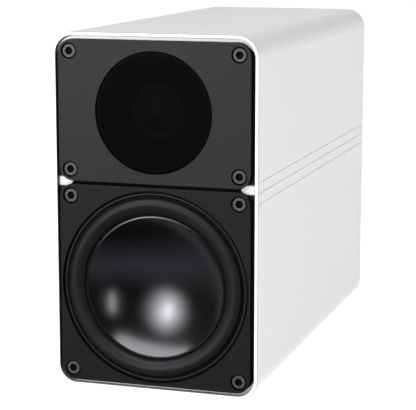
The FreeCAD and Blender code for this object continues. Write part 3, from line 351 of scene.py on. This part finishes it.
def make_materials():
    m = MATERIALS
    m["satin_shell"] = make_shell_material()
    m["cone_metal"] = make_cone_material()
    front = low("cabinet_sleeve").y
    # The frame is painted near black as shade in the gap between the plates, bare only in a band at the
    # notches.
    m["bright_frame"] = paint_gap_shade_beside_band(
        surface("bright_frame_metal", (0.85, 0.86, 0.87), 0.28, metal=0.2, tone=0.04),
        (low("tweeter_plate").z + high("woofer_frame").z) / 2, 2.0 * MM)
    # The plates, basket and screws get painted shade on their sides, in counterbores and in sockets.
    m["black_plate"] = paint_shade_below(
        surface("plate_lacquer", (0.0165, 0.0168, 0.0183), 0.40, tone=0.08, depth=0.000006, specular=0.24),
        front - 0.0004)
    m["black_basket"] = paint_shade_below(
        surface("basket_lacquer", (0.0082, 0.0083, 0.0092), 0.42, tone=0.08, depth=0.000006, specular=0.2),
        front - 0.0004)
    m["black_screw"] = paint_shade_below(
        surface("screw_oxide", (0.075, 0.076, 0.08), 0.38, metal=0.3, tone=0.15, patch=60.0), front - 0.0005)
    m["foam_seal"] = surface("seal_foam", (0.005, 0.005, 0.005), 0.95, tone=0.3, grain=1600.0, depth=0.0002,
                             specular=0.1)
    # The surround's inner and outer flanges get painted shade.
    m["surround_rubber"] = paint_flange_shade(
        surface("surround_rubber", (0.0054, 0.0054, 0.0058), 0.46, tone=0.1, depth=0.000008, specular=0.5),
        middle("woofer_surround"), 43.4 * MM, 52.3 * MM)
    m["bead_plastic"] = surface("bead_plastic", (0.012, 0.012, 0.012), 0.4, specular=0.4)
    m["former_metal"] = surface("former_foil", (0.72, 0.70, 0.66), 0.3, metal=0.9, stretch=(1, 40, 1))
    m["copper_wire"] = surface("coil_enamel", (0.72, 0.30, 0.12), 0.3, metal=0.8, stretch=(1, 30, 1),
                               depth=0.0001)
    m["spider_cloth"] = surface("spider_cloth", (0.42, 0.27, 0.08), 0.85, tone=0.25, grain=1800.0,
                                depth=0.0002)
    m["zinc_steel"] = surface("zinc_steel", (0.60, 0.61, 0.60), 0.32, metal=0.95, tone=0.1, patch=25.0)
    m["ferrite"] = surface("ferrite", (0.035, 0.035, 0.037), 0.6, tone=0.3, patch=80.0, depth=0.0001)
    m["board_strip"] = surface("phenolic_strip", (0.20, 0.10, 0.035), 0.5, tone=0.2)
    m["braid"] = surface("tinsel_braid", (0.75, 0.55, 0.38), 0.35, metal=0.9, grain=3000.0, depth=0.0002)
    m["mesh_black"] = surface("mesh_black", (0.0010, 0.0010, 0.0012), 0.45, tone=0.2, specular=0.06)
    m["guide_plastic"] = surface("guide_plastic", (0.0010, 0.0010, 0.0012), 0.5, specular=0.1)
    m["dome_cloth"] = surface("dome_cloth", (0.014, 0.014, 0.017), 0.30, tone=0.15, grain=3500.0,
                              depth=0.00003, specular=0.5)
    m["panel_black"] = surface("panel_texture", (0.014, 0.014, 0.0155), 0.55, tone=0.25, grain=1500.0,
                               depth=0.0002)
    m["port_plastic"] = surface("port_plastic", (0.016, 0.016, 0.017), 0.4, grain=1800.0, depth=0.00008)
    m["nickel"] = surface("nickel_plate", (0.80, 0.76, 0.68), 0.18, metal=1.0, tone=0.05, rough_play=0.04)
    m["collar_plastic"] = surface("moulded_black", (0.018, 0.018, 0.019), 0.42, grain=1700.0, depth=0.0001)
    m["red_plastic"] = surface("post_red", (0.45, 0.008, 0.010), 0.22, tone=0.06, coat=0.4)
    m["black_plastic"] = surface("post_black", (0.014, 0.014, 0.014), 0.22, tone=0.1, coat=0.4)
    m["green_board"] = surface("solder_mask", (0.01, 0.10, 0.035), 0.35, tone=0.1, coat=0.3)
    m["coil_copper"] = surface("inductor_enamel", (0.62, 0.24, 0.09), 0.28, metal=0.8, stretch=(1, 1, 30),
                               depth=0.0001)
    m["capacitor_film"] = surface("film_wrap", (0.62, 0.42, 0.05), 0.3, tone=0.08, coat=0.3)
    m["resistor_cement"] = surface("resistor_cement", (0.74, 0.72, 0.65), 0.9, tone=0.15, grain=1200.0,
                                   depth=0.0003)
    m["nylon"] = surface("nylon", (0.72, 0.72, 0.66), 0.4)
    m["lining_foam"] = surface("lining_foam", (0.035, 0.035, 0.038), 0.98, tone=0.4, grain=1300.0,
                               depth=0.0006, sheen=0.3)
    m["lead_red"] = surface("lead_insulation", (0.35, 0.01, 0.012), 0.4)


def dress_cad():
    """Every CAD node gets its slot's material."""
    for part in frame["record"]["subparts"]:
        mesh = NODES[part["node"]].data
        mesh.materials.clear()
        mesh.materials.append(MATERIALS[part["material_slot"]])


# ---------------------------------------------------------------- mesh making

def finish_mesh(bm, name, slot_name, sharp=40.0):
    """Turns a bmesh into a smooth-shaded object with its slot's material."""
    bmesh.ops.recalc_face_normals(bm, faces=bm.faces)
    mesh = bpy.data.meshes.new(name)
    bm.to_mesh(mesh)
    bm.free()
    mesh.shade_smooth()
    mesh.set_sharp_from_angle(angle=math.radians(sharp))
    mesh.materials.append(MATERIALS[slot_name])
    piece = bpy.data.objects.new(name, mesh)
    bpy.context.scene.collection.objects.link(piece)
    return piece


def soften(corners, steps=5):
    """A profile whose corners (r, y, fillet) are rounded. All in millimetres."""
    points = []
    count = len(corners)
    for i, corner in enumerate(corners):
        here = Vector((corner[0], corner[1]))
        radius = corner[2] if len(corner) > 2 else 0.0
        if radius <= 0:
            points.append(here)
            continue
        before = Vector(corners[i - 1][:2]) - here
        after = Vector(corners[(i + 1) % count][:2]) - here
        half = before.angle(after) / 2
        reach = min(radius / math.tan(half), 0.49 * before.length, 0.49 * after.length)
        radius = reach * math.tan(half)
        start, end = here + before.normalized() * reach, here + after.normalized() * reach
        centre = here + (before.normalized() + after.normalized()).normalized() * (radius / math.sin(half))
        turn = (end - centre).angle_signed(start - centre)
        for k in range(steps + 1):
            arm = (start - centre).copy()
            angle = -turn * k / steps
            arm = Vector((arm.x * math.cos(angle) + arm.y * math.sin(angle),
                          -arm.x * math.sin(angle) + arm.y * math.cos(angle)))
            points.append(centre + arm)
    return points


def vertex_ring(bm, centre, radius, level, steps):
    """New vertices in a circle about the Y axis through centre."""
    return [bm.verts.new((centre.x + radius * math.cos(a), level, centre.z + radius * math.sin(a)))
            for a in (2 * math.pi * k / steps for k in range(steps))]


def lathe(name, slot_name, profile, centre, level=0.0, steps=192, sharp=40.0):
    """A closed profile (r, y) in millimetres turned about the Y axis through centre."""
    bm = bmesh.new()
    rings = []
    for point in profile:
        r, y = point[0] * MM, level + point[1] * MM
        if r < 1e-7:
            rings.append([bm.verts.new((centre.x, y, centre.z))])
            continue
        rings.append(vertex_ring(bm, centre, r, y, steps))
    for i, ring in enumerate(rings):
        after = rings[(i + 1) % len(rings)]
        if len(ring) == 1 and len(after) == 1:
            continue
        for k in range(steps):
            corners = [ring[k % len(ring)], ring[(k + 1) % len(ring)],
                       after[(k + 1) % len(after)], after[k % len(after)]]
            unique = list(dict.fromkeys(corners))
            if len(unique) > 2:
                bm.faces.new(unique)
    return finish_mesh(bm, name, slot_name, sharp)


# ---------------------------------------------------------------- front

RIM = low("cabinet_sleeve").y


def local(y):
    """A CAD level in metres as millimetres behind the front rim."""
    return (y - RIM) / MM


def make_cone():
    centre = middle("woofer_cone")
    lip, deep = local(low("woofer_cone").y), local(high("woofer_cone").y)
    outer = size("woofer_cone").x / 2 / MM
    dish = outer - 0.9
    skin = 0.5
    front = dish_points(dish, lip + 0.06, deep - skin, 64)
    back = dish_points(dish, lip + skin, deep, 64)
    edge = soften([(dish + 0.25, lip, 0.2), (outer, lip, 0.22), (outer, lip + skin, 0.1)], 4)
    profile = front + edge + back[::-1]
    cone = lathe("cone_dish", "cone_metal", profile, centre, RIM, 224)
    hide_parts("woofer_cone")
    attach(cone, "woofer_moving")


def dish_points(edge, level, bottom, steps):
    """A spherical dish from the axis to its edge, as (r, y)."""
    deep = bottom - level
    radius = (edge * edge + deep * deep) / (2 * deep)
    widest = math.asin(edge / radius)
    angles = (widest * k / steps for k in range(steps + 1))
    return [Vector((radius * math.sin(a), bottom - radius * (1 - math.cos(a)))) for a in angles]


def blend_radially(piece, centre, inner, outer, still, moving):
    """Lets a ring stretch between a still and a moving body: weight 1 at inner, 0 at outer."""
    low_y, high_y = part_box("woofer_surround")[0][1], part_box("woofer_surround")[1][1]
    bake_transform(piece, still, moving, start=(centre.x, low_y, centre.z), end=(centre.x, high_y, centre.z))
    weights = piece.data.attributes["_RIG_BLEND"]
    for i, vertex in enumerate(piece.data.vertices):
        r = math.hypot(vertex.co.x - centre.x, vertex.co.z - centre.z)
        t = min(max((outer - r) / (outer - inner), 0.0), 1.0)
        weights.data[i].value = t * t * (3 - 2 * t)


def leaning_roll(inner, outer, level, rise, lean, steps):
    """A half-roll's section from inner to outer, as (r, y), whose crown leans outwards."""
    mid, half = (inner + outer) / 2, (outer - inner) / 2
    angles = (math.pi * k / steps for k in range(steps + 1))
    return [Vector((mid - half * math.cos(a) + lean * math.sin(a) ** 2, level - rise * math.sin(a)))
            for a in angles]


def make_surround():
    centre = middle("woofer_surround")
    inner_r, seat_r = 41.0, size("woofer_surround").x / 2 / MM
    crown = local(low("woofer_surround").y)
    roll_in, roll_out, level, skin, lean = 43.0, 52.4, 0.9, 0.7, 0.9
    front = [Vector((inner_r + 0.1, level)), Vector((roll_in - 0.5, level))]
    front += leaning_roll(roll_in, roll_out, level, level - crown, lean, 44)
    front += [Vector((roll_out + 0.35, level + 0.1)), Vector((roll_out + 0.7, level)),
              Vector((seat_r - 0.2, level))]
    back = [Vector((seat_r, level + 0.1)), Vector((seat_r - 0.1, 1.17)), Vector((roll_out - 0.2, 1.17)),
            Vector((roll_out - skin, level + 0.1))]
    back += leaning_roll(roll_in + skin, roll_out - skin, level, level - crown - skin, lean, 44)[::-1]
    back += [Vector((roll_in + 0.2, level + skin)), Vector((inner_r + 0.1, level + skin))]
    piece = lathe("surround_roll", "surround_rubber", front + back, centre, RIM, 224, sharp=60)
    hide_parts("woofer_surround")
    blend_radially(piece, centre, roll_in * MM, roll_out * MM, "cabinet", "woofer_moving")


def make_bead():
    centre = middle("surround_bead")
    outer = size("surround_bead").x / 2 / MM
    top, foot = local(low("surround_bead").y), local(high("surround_bead").y)
    inner = outer - 1.15
    profile = soften([(inner, foot, 0), (inner, top, 0.35), (outer, top, 0.35), (outer, foot, 0)])
    piece = lathe("surround_bead_ring", "bead_plastic", profile, centre, RIM, 224)
    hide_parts("surround_bead")
    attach(piece, "cabinet")


def make_mesh_cover():
    """The tweeter's cover: a sheet with staggered round holes and a turned-back skirt."""
    centre = middle("tweeter_mesh")
    outer = size("tweeter_mesh").x / 2
    front, back = low("tweeter_mesh").y, high("tweeter_mesh").y
    thick, pitch, hole, margin, corners = 0.4 * MM, 1.1 * MM, 0.36 * MM, 1.4 * MM, 6
    bm = bmesh.new()
    row_high = pitch * math.sqrt(3) / 2
    reach = outer - margin
    rows = int(reach / row_high) + 1
    cells = {}
    for j in range(-rows, rows + 1):
        for i in range(-rows - 2, rows + 3):
            x, z = (i + (0.5 if j % 2 else 0.0)) * pitch, j * row_high
            if math.hypot(x, z) < reach - pitch * 0.6:
                cells[(i, j)] = (x, z)
    made = {}

    def vert(x, z, y):
        key = (round(x, 7), round(z, 7), round(y, 7))
        if key not in made:
            made[key] = bm.verts.new((centre.x + x, y, centre.z + z))
        return made[key]

    edge_r = pitch / math.sqrt(3)
    for x, z in cells.values():
        for k in range(corners):
            a, b = (math.pi / 6 + turn * math.pi / 3 for turn in (k, k + 1))
            quad = [(x + r * math.cos(angle), z + r * math.sin(angle))
                    for r, angle in ((edge_r, a), (edge_r, b), (hole, b), (hole, a))]
            for y in (front, front + thick):
                bm.faces.new([vert(px, pz, y) for px, pz in quad])
            inner = quad[2:]
            bm.faces.new([vert(*inner[0], front), vert(*inner[1], front), vert(*inner[1], front + thick),
                          vert(*inner[0], front + thick)])
    borders = [e for e in bm.edges if len(e.link_faces) == 1]
    fronts = [e for e in borders if all(abs(v.co.y - front) < 1e-6 for v in e.verts)]
    backs = [e for e in borders if all(abs(v.co.y - front - thick) < 1e-6 for v in e.verts)]
    steps = 180
    sheets = ((front, fronts, outer - 0.35 * MM), (front + thick, backs, outer - 0.5 * MM))
    for level, edges, radius in sheets:
        ring = vertex_ring(bm, centre, radius, level, steps)
        loop = [bm.edges.new((ring[k], ring[(k + 1) % steps])) for k in range(steps)]
        bmesh.ops.triangle_fill(bm, edges=edges + loop, use_beauty=True, use_dissolve=False)
        if level == front:
            chain = [(outer - 0.1 * MM, front + 0.1 * MM), (outer, front + 0.35 * MM), (outer, back),
                     (outer - 0.5 * MM, back)]
            rings = [ring]
            rings += [vertex_ring(bm, centre, r, y, steps) for r, y in chain]
        else:
            rings.append(ring)
    for first, second in zip(rings, rings[1:]):
        for k in range(steps):
            bm.faces.new([first[k], first[(k + 1) % steps], second[(k + 1) % steps], second[k]])
    piece = finish_mesh(bm, "mesh_cover", "mesh_black", 30)
    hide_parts("tweeter_mesh")
    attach(piece, "cabinet")


# ---------------------------------------------------------------- soft and springy pieces inside

def sheet_section(line, skin):
    """A closed section: a line of (r, y) points and the same line a skin further back."""
    return line + [point + Vector((0.0, skin)) for point in reversed(line)]


def make_spider():
    """The corrugated cloth disc: round waves between the glued inner collar and the flat outer rim."""
    centre = middle("woofer_spider")
    inner, outer, skin, waves, steps = 16.35, size("woofer_spider").x / 2 / MM, 0.55, 5, 100
    front, back = local(low("woofer_spider").y), local(high("woofer_spider").y)
    level, wave = (front + back - skin) / 2, (back - front - skin) / 2
    start, end = inner + 1.3, outer - 3.5
    line = [Vector((inner, level))]
    for k in range(steps + 1):
        t = k / steps
        swell = min(1.0, 8 * t, 8 * (1 - t))
        rise = wave * swell * math.sin(2 * math.pi * waves * t)
        line.append(Vector((start + (end - start) * t, level - rise)))
    line.append(Vector((outer - 0.05, level)))
    piece = lathe("spider_disc", "spider_cloth", sheet_section(line, skin), centre, RIM, 160, sharp=60)
    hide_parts("woofer_spider")
    blend_radially(piece, centre, start * MM, end * MM, "cabinet", "woofer_moving")


def make_dome_roll():
    """The narrow cloth roll round the tweeter's dome."""
    centre = middle("tweeter_surround")
    inner, roll_in, roll_out, outer, skin = 12.62, 12.85, 14.8, size("tweeter_surround").x / 2 / MM, 0.28
    crown, level = local(low("tweeter_surround").y), local(high("tweeter_surround").y) - 0.3
    line = [Vector((inner, level))] + leaning_roll(roll_in, roll_out, level, level - crown, 0.0, 20)
    line.append(Vector((outer, level)))
    piece = lathe("dome_roll", "dome_cloth", sheet_section(line, skin), centre, RIM, 128, sharp=60)
    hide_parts("tweeter_surround")
    blend_radially(piece, centre, roll_in * MM, roll_out * MM, "cabinet", "tweeter_moving")


def wound_face(start, end, wire):
    """Points from start to end over the round backs of wires that lie to the left of that direction."""
    start, end = Vector(start), Vector(end)
    turns = max(round((end - start).length / wire), 1)
    along = (end - start) / turns
    inward = Vector((-along.y, along.x)) / 2
    angles = [math.pi * (k + 0.5) / 4 for k in range(4)]
    return [start + along * (i + 0.5 - 0.5 * math.cos(a)) + inward * (1 - math.sin(a))
            for i in range(turns) for a in angles]


def make_voice_winding(node, wire, former_r, body):
    """One layer of enamelled wire round a voice coil's former."""
    centre, outer = middle(node), size(node).x / 2 / MM
    front, back = local(low(node).y), local(high(node).y)
    profile = wound_face((outer, front), (outer, back), wire)
    profile += [Vector((former_r, back)), Vector((former_r, front))]
    piece = lathe(node + "_wire", "copper_wire", profile, centre, RIM, 96, sharp=80)
    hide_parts(node)
    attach(piece, body)


def make_inductor(node, wire, bore):
    """An air-cored coil standing on the board. It is turned about Y, then its Y and Z are exchanged."""
    centre, outer = middle(node), size(node).x / 2 / MM
    foot, top = low(node).z / MM, high(node).z / MM
    corners = [(outer, foot), (outer, top), (bore, top), (bore, foot)]
    profile = [point for i in range(4) for point in wound_face(corners[i], corners[(i + 1) % 4], wire)]
    lying = Vector((centre.x, 0.0, centre.y))
    piece = lathe(node + "_coil", "coil_copper", profile, lying, 0.0, 96, sharp=80)
    for vertex in piece.data.vertices:
        vertex.co = (vertex.co.x, vertex.co.z, vertex.co.y)
    piece.data.flip_normals()
    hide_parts(node)
    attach(piece, "cabinet")


def bezier(points, steps):
    """Points along the cubic curve with these four control points."""
    a, b, c, d = points
    return [a * (1 - t) ** 3 + b * 3 * t * (1 - t) ** 2 + c * 3 * t * t * (1 - t) + d * t ** 3
            for t in (k / steps for k in range(steps + 1))]


def add_strand(bm, line, radius, sides):
    """A capped round tube along a line of points."""
    rings = []
    side = Vector((1.0, 0.0, 0.0))
    for i, point in enumerate(line):
        along = (line[min(i + 1, len(line) - 1)] - line[max(i - 1, 0)]).normalized()
        side = (side - along * side.dot(along)).normalized()
        other = along.cross(side)
        rings.append([bm.verts.new(point + (side * math.cos(a) + other * math.sin(a)) * radius)
                      for a in (2 * math.pi * k / sides for k in range(sides))])
    for first, second in zip(rings, rings[1:]):
        for k in range(sides):
            bm.faces.new([first[k], first[(k + 1) % sides], second[(k + 1) % sides], second[k]])
    bm.faces.new(rings[0][::-1])
    bm.faces.new(rings[-1])


def make_tinsel_leads():
    """Two flexible leads from the terminal strip to the voice coil, each three strands twisted together."""
    box_low, box_high = low("tinsel_leads"), high("tinsel_leads")
    lead_r, strand_r, strands, turns, steps = 0.6 * MM, 0.29 * MM, 3, 11, 150
    start_x, end_x = box_high.x - lead_r, box_high.x - 1.6 * MM
    bm = bmesh.new()
    for hand in (1, -1):
        route = bezier([Vector((hand * start_x, box_high.y - 0.2 * MM, box_low.z + lead_r)),
                        Vector((hand * start_x, box_low.y - 2.0 * MM, box_low.z + 0.5 * MM)),
                        Vector((hand * end_x, box_low.y + 0.2 * MM, box_low.z + 14.0 * MM)),
                        Vector((hand * end_x, box_high.y - 9.0 * MM, box_high.z - 0.1 * MM))], steps)
        for strand in range(strands):
            line = []
            for k, point in enumerate(route):
                along = (route[min(k + 1, steps)] - route[max(k - 1, 0)]).normalized()
                side = Vector((1.0, 0.0, 0.0))
                side = (side - along * side.dot(along)).normalized()
                angle = 2 * math.pi * (turns * k / steps + strand / strands)
                offset = side * math.cos(angle) + along.cross(side) * math.sin(angle)
                line.append(point + offset * (lead_r - strand_r))
            add_strand(bm, line, strand_r, 8)
    piece = finish_mesh(bm, "twisted_leads", "braid", 60)
    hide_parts("tinsel_leads")
    y = (box_low.y + box_high.y) / 2
    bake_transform(piece, "cabinet", "woofer_moving", start=(0.0, y, box_low.z + 2 * MM),
             end=(0.0, y, box_high.z - MM))


def make_lining(node, axis, inward):
    """Egg-crate foam: a flat back to the wall, and soft peaks that point inward (1 or -1) along axis."""
    start, end = low(node), high(node)
    first, second = (a for a in range(3) if a != axis)
    wall = start[axis] if inward > 0 else end[axis]
    thick = end[axis] - start[axis]
    pitch, steps_a_wave, valley, pull_in = 18.0 * MM, 8, 0.42, 0.35 * MM
    waves = [max(round((end[a] - start[a]) / pitch), 2) for a in (first, second)]
    counts = [w * steps_a_wave for w in waves]
    bm = bmesh.new()
    peaks, backs = [], []
    for i in range(counts[0] + 1):
        for j in range(counts[1] + 1):
            u, v = i / counts[0], j / counts[1]
            swell = (2 - math.cos(2 * math.pi * u * waves[0]) - math.cos(2 * math.pi * v * waves[1])) / 4
            uneven = 1 - 0.03 * random.random()
            place = [0.0, 0.0, 0.0]
            place[first] = start[first] + (end[first] - start[first]) * u
            place[second] = start[second] + (end[second] - start[second]) * v
            place[axis] = wall
            backs.append(bm.verts.new(place))
            place[first] += pull_in * (1 if i == 0 else -1 if i == counts[0] else 0)
            place[second] += pull_in * (1 if j == 0 else -1 if j == counts[1] else 0)
            place[axis] = wall + inward * thick * (valley + (1 - valley) * swell ** 1.2) * uneven
            peaks.append(bm.verts.new(place))
    row = counts[1] + 1
    for i in range(counts[0]):
        for j in range(counts[1]):
            corner = [i * row + j, i * row + j + 1, (i + 1) * row + j + 1, (i + 1) * row + j]
            bm.faces.new([peaks[k] for k in corner])
            bm.faces.new([backs[k] for k in reversed(corner)])
    edges = [[i * row for i in range(counts[0] + 1)], [i * row + counts[1] for i in range(counts[0] + 1)],
             list(range(row)), list(range(counts[0] * row, counts[0] * row + row))]
    for chain in edges:
        for a, b in zip(chain, chain[1:]):
            bm.faces.new([peaks[a], peaks[b], backs[b], backs[a]])
    piece = finish_mesh(bm, node + "_egg_crate", "lining_foam", 70)
    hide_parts(node)
    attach(piece, "cabinet")


# ---------------------------------------------------------------- stage, lights and camera

def soft_box(name, aim, azimuth, elevation, distance, wide, tall, radiance, shape="ELLIPSE", roll=0.0):
    """A soft light that faces aim. Azimuth 0 is straight in front (-Y), and positive towards +X."""
    turn, rise = math.radians(azimuth), math.radians(elevation)
    direction = Vector((math.sin(turn) * math.cos(rise), -math.cos(turn) * math.cos(rise), math.sin(rise)))
    data = bpy.data.lights.new(name, "AREA")
    data.shape = shape
    data.size, data.size_y = wide, tall
    area = wide * tall * (math.pi / 4 if shape == "ELLIPSE" else 1.0)
    data.energy = radiance * math.pi * area
    light = bpy.data.objects.new(name, data)
    bpy.context.scene.collection.objects.link(light)
    light.location = aim + direction * distance
    facing = (-direction).to_track_quat("-Z", "Y") @ Quaternion((0.0, 0.0, 1.0), math.radians(roll))
    light.rotation_euler = facing.to_euler()
    return light


def make_stage():
    scene = bpy.context.scene
    scene.view_settings.view_transform = "Standard"
    world = bpy.data.worlds.new("studio")
    scene.world = world
    world.use_nodes = True
    tree = world.node_tree
    background = tree.nodes["Background"]
    background.inputs["Strength"].default_value = 1.0
    direction = tree.nodes.new("ShaderNodeTexCoord").outputs["Generated"]
    split = tree.nodes.new("ShaderNodeSeparateXYZ")
    tree.links.new(direction, split.inputs[0])
    behind = spread(tree, split.outputs["Y"], -0.25, 0.45, 0.0, 1.0)
    below = spread(tree, split.outputs["Z"], -0.45, -0.10, 1.0, 0.0)
    deep = spread(tree, split.outputs["Z"], -0.85, -0.50, 1.0, 0.0)
    low_light = mix_colours(tree, deep, (0.150, 0.156, 0.168), (0.020, 0.021, 0.024))
    front = mix_colours(tree, below, (0.010, 0.010, 0.011), low_light)
    around = mix_colours(tree, behind, front, (1.0, 1.005, 1.01))
    flag = tree.nodes.new("ShaderNodeVectorMath")
    flag.operation = "DOT_PRODUCT"
    tree.links.new(direction, flag.inputs[0])
    flag.inputs[1].default_value = Vector((0.55, 0.45, 0.70)).normalized()
    shade = spread(tree, flag.outputs["Value"], 0.60, 0.90, 0.0, 0.7)
    shaded = mix_colours(tree, shade, around, (0.08, 0.08, 0.08))
    left_flag = tree.nodes.new("ShaderNodeVectorMath")
    left_flag.operation = "DOT_PRODUCT"
    tree.links.new(direction, left_flag.inputs[0])
    left_flag.inputs[1].default_value = Vector((-0.95, 0.25, 0.15)).normalized()
    left_shade = spread(tree, left_flag.outputs["Value"], 0.35, 0.80, 0.0, 0.4)
    shaded = mix_colours(tree, left_shade, shaded, (0.1, 0.1, 0.1))
    seen = tree.nodes.new("ShaderNodeLightPath").outputs["Is Camera Ray"]
    tree.links.new(mix_colours(tree, seen, shaded, (0.98, 0.98, 0.98)), background.inputs["Color"])

    bm = bmesh.new()
    bmesh.ops.create_grid(bm, x_segments=8, y_segments=8, size=9.0)
    mesh = bpy.data.meshes.new("floor")
    bm.to_mesh(mesh)
    bm.free()
    floor = bpy.data.objects.new("floor", mesh)
    scene.collection.objects.link(floor)
    floor.location.z = CAD_BOX[0][2] - 0.0002
    material, tree, shader, coordinates = new_material("floor_paper")
    shader.inputs["Roughness"].default_value = 0.9
    shader.inputs["Specular IOR Level"].default_value = 0.1
    shader.inputs["Emission Strength"].default_value = 0.75
    shader.inputs["Emission Color"].default_value = (1, 1, 1, 1)
    cloudy = noise_of(tree, coordinates, 3.0)
    tree.links.new(mix_colours(tree, cloudy, (0.93, 0.93, 0.93), (0.96, 0.96, 0.96)),
                   shader.inputs["Base Color"])
    mesh.materials.append(material)
    floor.visible_glossy = False

    dish = middle("woofer_cone")
    soft_box("key_wide", dish, -25, 10, 1.70, 1.35, 1.25, 0.55)
    soft_box("key_soft", dish, -25, 10, 1.65, 0.92, 0.96, 1.05)
    soft_box("key_mid", dish, -25, 10, 1.60, 0.52, 0.66, 1.9, roll=-20)
    soft_box("key_core", dish, -26, 10, 1.55, 0.20, 0.34, 3.6)
    edge = soft_box("edge_box", dish, 26, 6, 1.7, 0.18, 0.62, 2.6)
    edge.visible_diffuse = False
    top = soft_box("top_box", dish, -24, 55, 1.5, 2.1, 0.85, 2.15, "RECTANGLE", 6)
    top.visible_diffuse = False
    soft_box("roof_box", dish, -20, 62, 1.5, 2.2, 1.0, 2.3, "RECTANGLE").visible_glossy = False
    soft_box("right_box", dish, 95, 5, 1.7, 1.2, 1.2, 0.74, "RECTANGLE")
    fill = soft_box("front_fill", dish, -5, 12, 2.4, 2.2, 1.6, 2.8, "RECTANGLE")
    fill.visible_glossy = False


def make_camera():
    data = bpy.data.cameras.new("camera")
    data.sensor_width = 36.0
    data.lens = 137.93
    camera = bpy.data.objects.new("camera", data)
    bpy.context.scene.collection.objects.link(camera)
    camera.location = (0.30008, -0.97698, 0.27099)
    camera.rotation_euler = Euler((math.radians(90 - 10.18), 0.0, math.radians(17.66)))
    bpy.context.scene.camera = camera


def main():
    random.seed(7)
    make_materials()
    dress_cad()
    make_cone()
    make_surround()
    make_bead()
    make_mesh_cover()
    make_spider()
    make_dome_roll()
    make_tinsel_leads()
    make_voice_winding("woofer_winding", 0.4, 16.0, "woofer_moving")
    make_voice_winding("tweeter_winding", 0.25, 12.6, "tweeter_moving")
    make_inductor("woofer_inductor", 1.2, 6.5)
    make_inductor("tweeter_inductor", 0.9, 4.5)
    make_lining("foam_left", 0, 1)
    make_lining("foam_right", 0, -1)
    make_lining("foam_top", 2, -1)
    make_stage()
    make_camera()


main()
